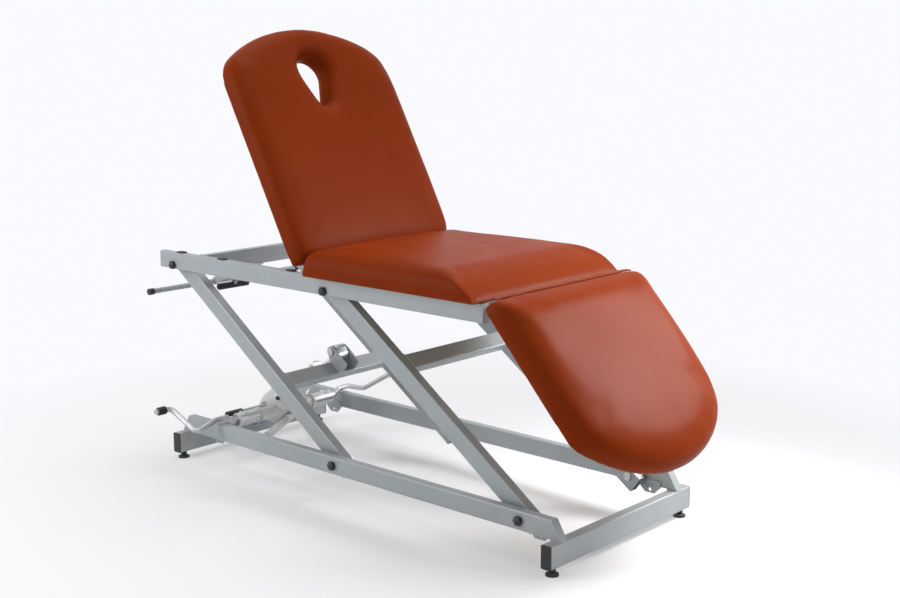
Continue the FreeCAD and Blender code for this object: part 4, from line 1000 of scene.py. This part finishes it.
# Pump pedals
# Bent steel tube, bright plated, clamped to the ends of the pump shaft, with ribbed rubber grips.
pedal_metal = plated("pedal_metal", (0.52, 0.53, 0.53), (0.42, 0.43, 0.43), (0.34, 0.48), 260.0,
                     0.0002)
dress(pedal_metal, "pedal_near", "pedal_far", "shaft_clamps", "release_stem")
dress(rubber, "pedal_grips", "handle_grip")


# Floor and backdrop
# A plain pale floor that keeps the table's shadow and fades into the white of the world.
def floor_material():
    material = bpy.data.materials.new("floor")
    material.use_nodes = True
    tree = material.node_tree
    shader = tree.nodes["Principled BSDF"]
    output = tree.nodes["Material Output"]
    shader.inputs["Roughness"].default_value = 0.9
    shader.inputs["Base Color"].default_value = (0.94, 0.94, 0.945, 1.0)
    place = node(tree, "TexCoord")
    distance = node(tree, "VectorMath", {0: place.outputs["Object"]}, operation="LENGTH")
    far = between(tree, distance.outputs["Value"], 0.5, 1.9, 0.15, 1.0)
    seen = node(tree, "LightPath")
    white = node(tree, "Emission", {"Color": (0.956, 0.956, 0.991, 1), "Strength": 1.0})
    mirrored = node(tree, "Math", {0: seen.outputs["Is Camera Ray"],
                                   1: seen.outputs["Is Glossy Ray"]}, operation="MAXIMUM")
    direct = node(tree, "Math", {0: mirrored.outputs[0],
                                 1: seen.outputs["Is Transmission Ray"]}, operation="MAXIMUM")
    fade = node(tree, "Math", {0: far, 1: direct.outputs[0]}, operation="MULTIPLY")
    mix = node(tree, "MixShader", {0: fade.outputs[0], 1: shader.outputs[0],
                                   2: white.outputs[0]})
    tree.links.new(mix.outputs[0], output.inputs["Surface"])
    return material


bpy.ops.object.select_all(action="DESELECT")
bpy.ops.mesh.primitive_circle_add(vertices=96, radius=9.0, fill_type="NGON", location=(0, 0, 0))
floor = bpy.context.active_object
floor.name = "floor"
floor.data.materials.append(floor_material())

world = bpy.data.worlds.new("white studio")
bpy.context.scene.world = world
world.use_nodes = True
tree = world.node_tree
tree.nodes.clear()
seen = node(tree, "LightPath")
sharp = node(tree, "Math", {0: seen.outputs["Is Camera Ray"],
                            1: seen.outputs["Is Glossy Ray"]}, operation="MAXIMUM")
soft_light = node(tree, "Background", {"Color": (1, 1, 1, 1), "Strength": 0.30})
white = node(tree, "Background", {"Color": (0.956, 0.956, 0.991, 1), "Strength": 1.0})
clear = node(tree, "Math", {0: sharp.outputs[0], 1: seen.outputs["Is Transmission Ray"]},
             operation="MAXIMUM")
mix = node(tree, "MixShader", {0: clear.outputs[0], 1: soft_light.outputs[0],
                               2: white.outputs[0]})
output = node(tree, "OutputWorld", {"Surface": mix.outputs[0]})


def softbox(name, place, aim, size, power, spread=180.0):
    """A square soft light that points at a place on the table, with a grid if it spreads less."""
    lamp = bpy.data.lights.new(name, "AREA")
    lamp.shape = "SQUARE"
    lamp.size = size
    lamp.energy = power
    lamp.spread = math.radians(spread)
    box = bpy.data.objects.new(name, lamp)
    bpy.context.collection.objects.link(box)
    box.location = place
    box.rotation_euler = (Vector(aim) - Vector(place)).to_track_quat("-Z", "Y").to_euler()


softbox("left", (-1.6, -2.6, 1.6), (-0.1, 0, 0.5), 1.5, 42)
softbox("right", (2.6, 1.6, 2.4), (0.2, 0, 0.5), 1.6, 28)
softbox("behind", (1.24, 1.30, 1.42), (0.68, 0.03, 0.44), 0.8, 10.0, 80.0)
softbox("top", (-0.2, 0.2, 3.4), (0, 0, 0.4), 2.2, 48)


# Camera at the photograph's place
# The place, the turn and the lens were solved from the straight tubes in the photograph.
camera_data = bpy.data.cameras.new("photograph_view")
camera_data.sensor_fit = "HORIZONTAL"
camera_data.sensor_width = 36.0
camera_data.lens = 55.46
camera_data.clip_end = 60.0
camera = bpy.data.objects.new("photograph_view", camera_data)
bpy.context.collection.objects.link(camera)
turn = (Matrix.Rotation(math.radians(42.03), 4, "Z")
        @ Matrix.Rotation(math.radians(90 - 10.84), 4, "X")
        @ Matrix.Rotation(math.radians(-0.16), 4, "Z"))
camera.matrix_world = Matrix.Translation((2.5724, -2.7450, 1.2634)) @ turn
bpy.context.scene.camera = camera

bpy.context.scene.view_settings.view_transform = "Standard"
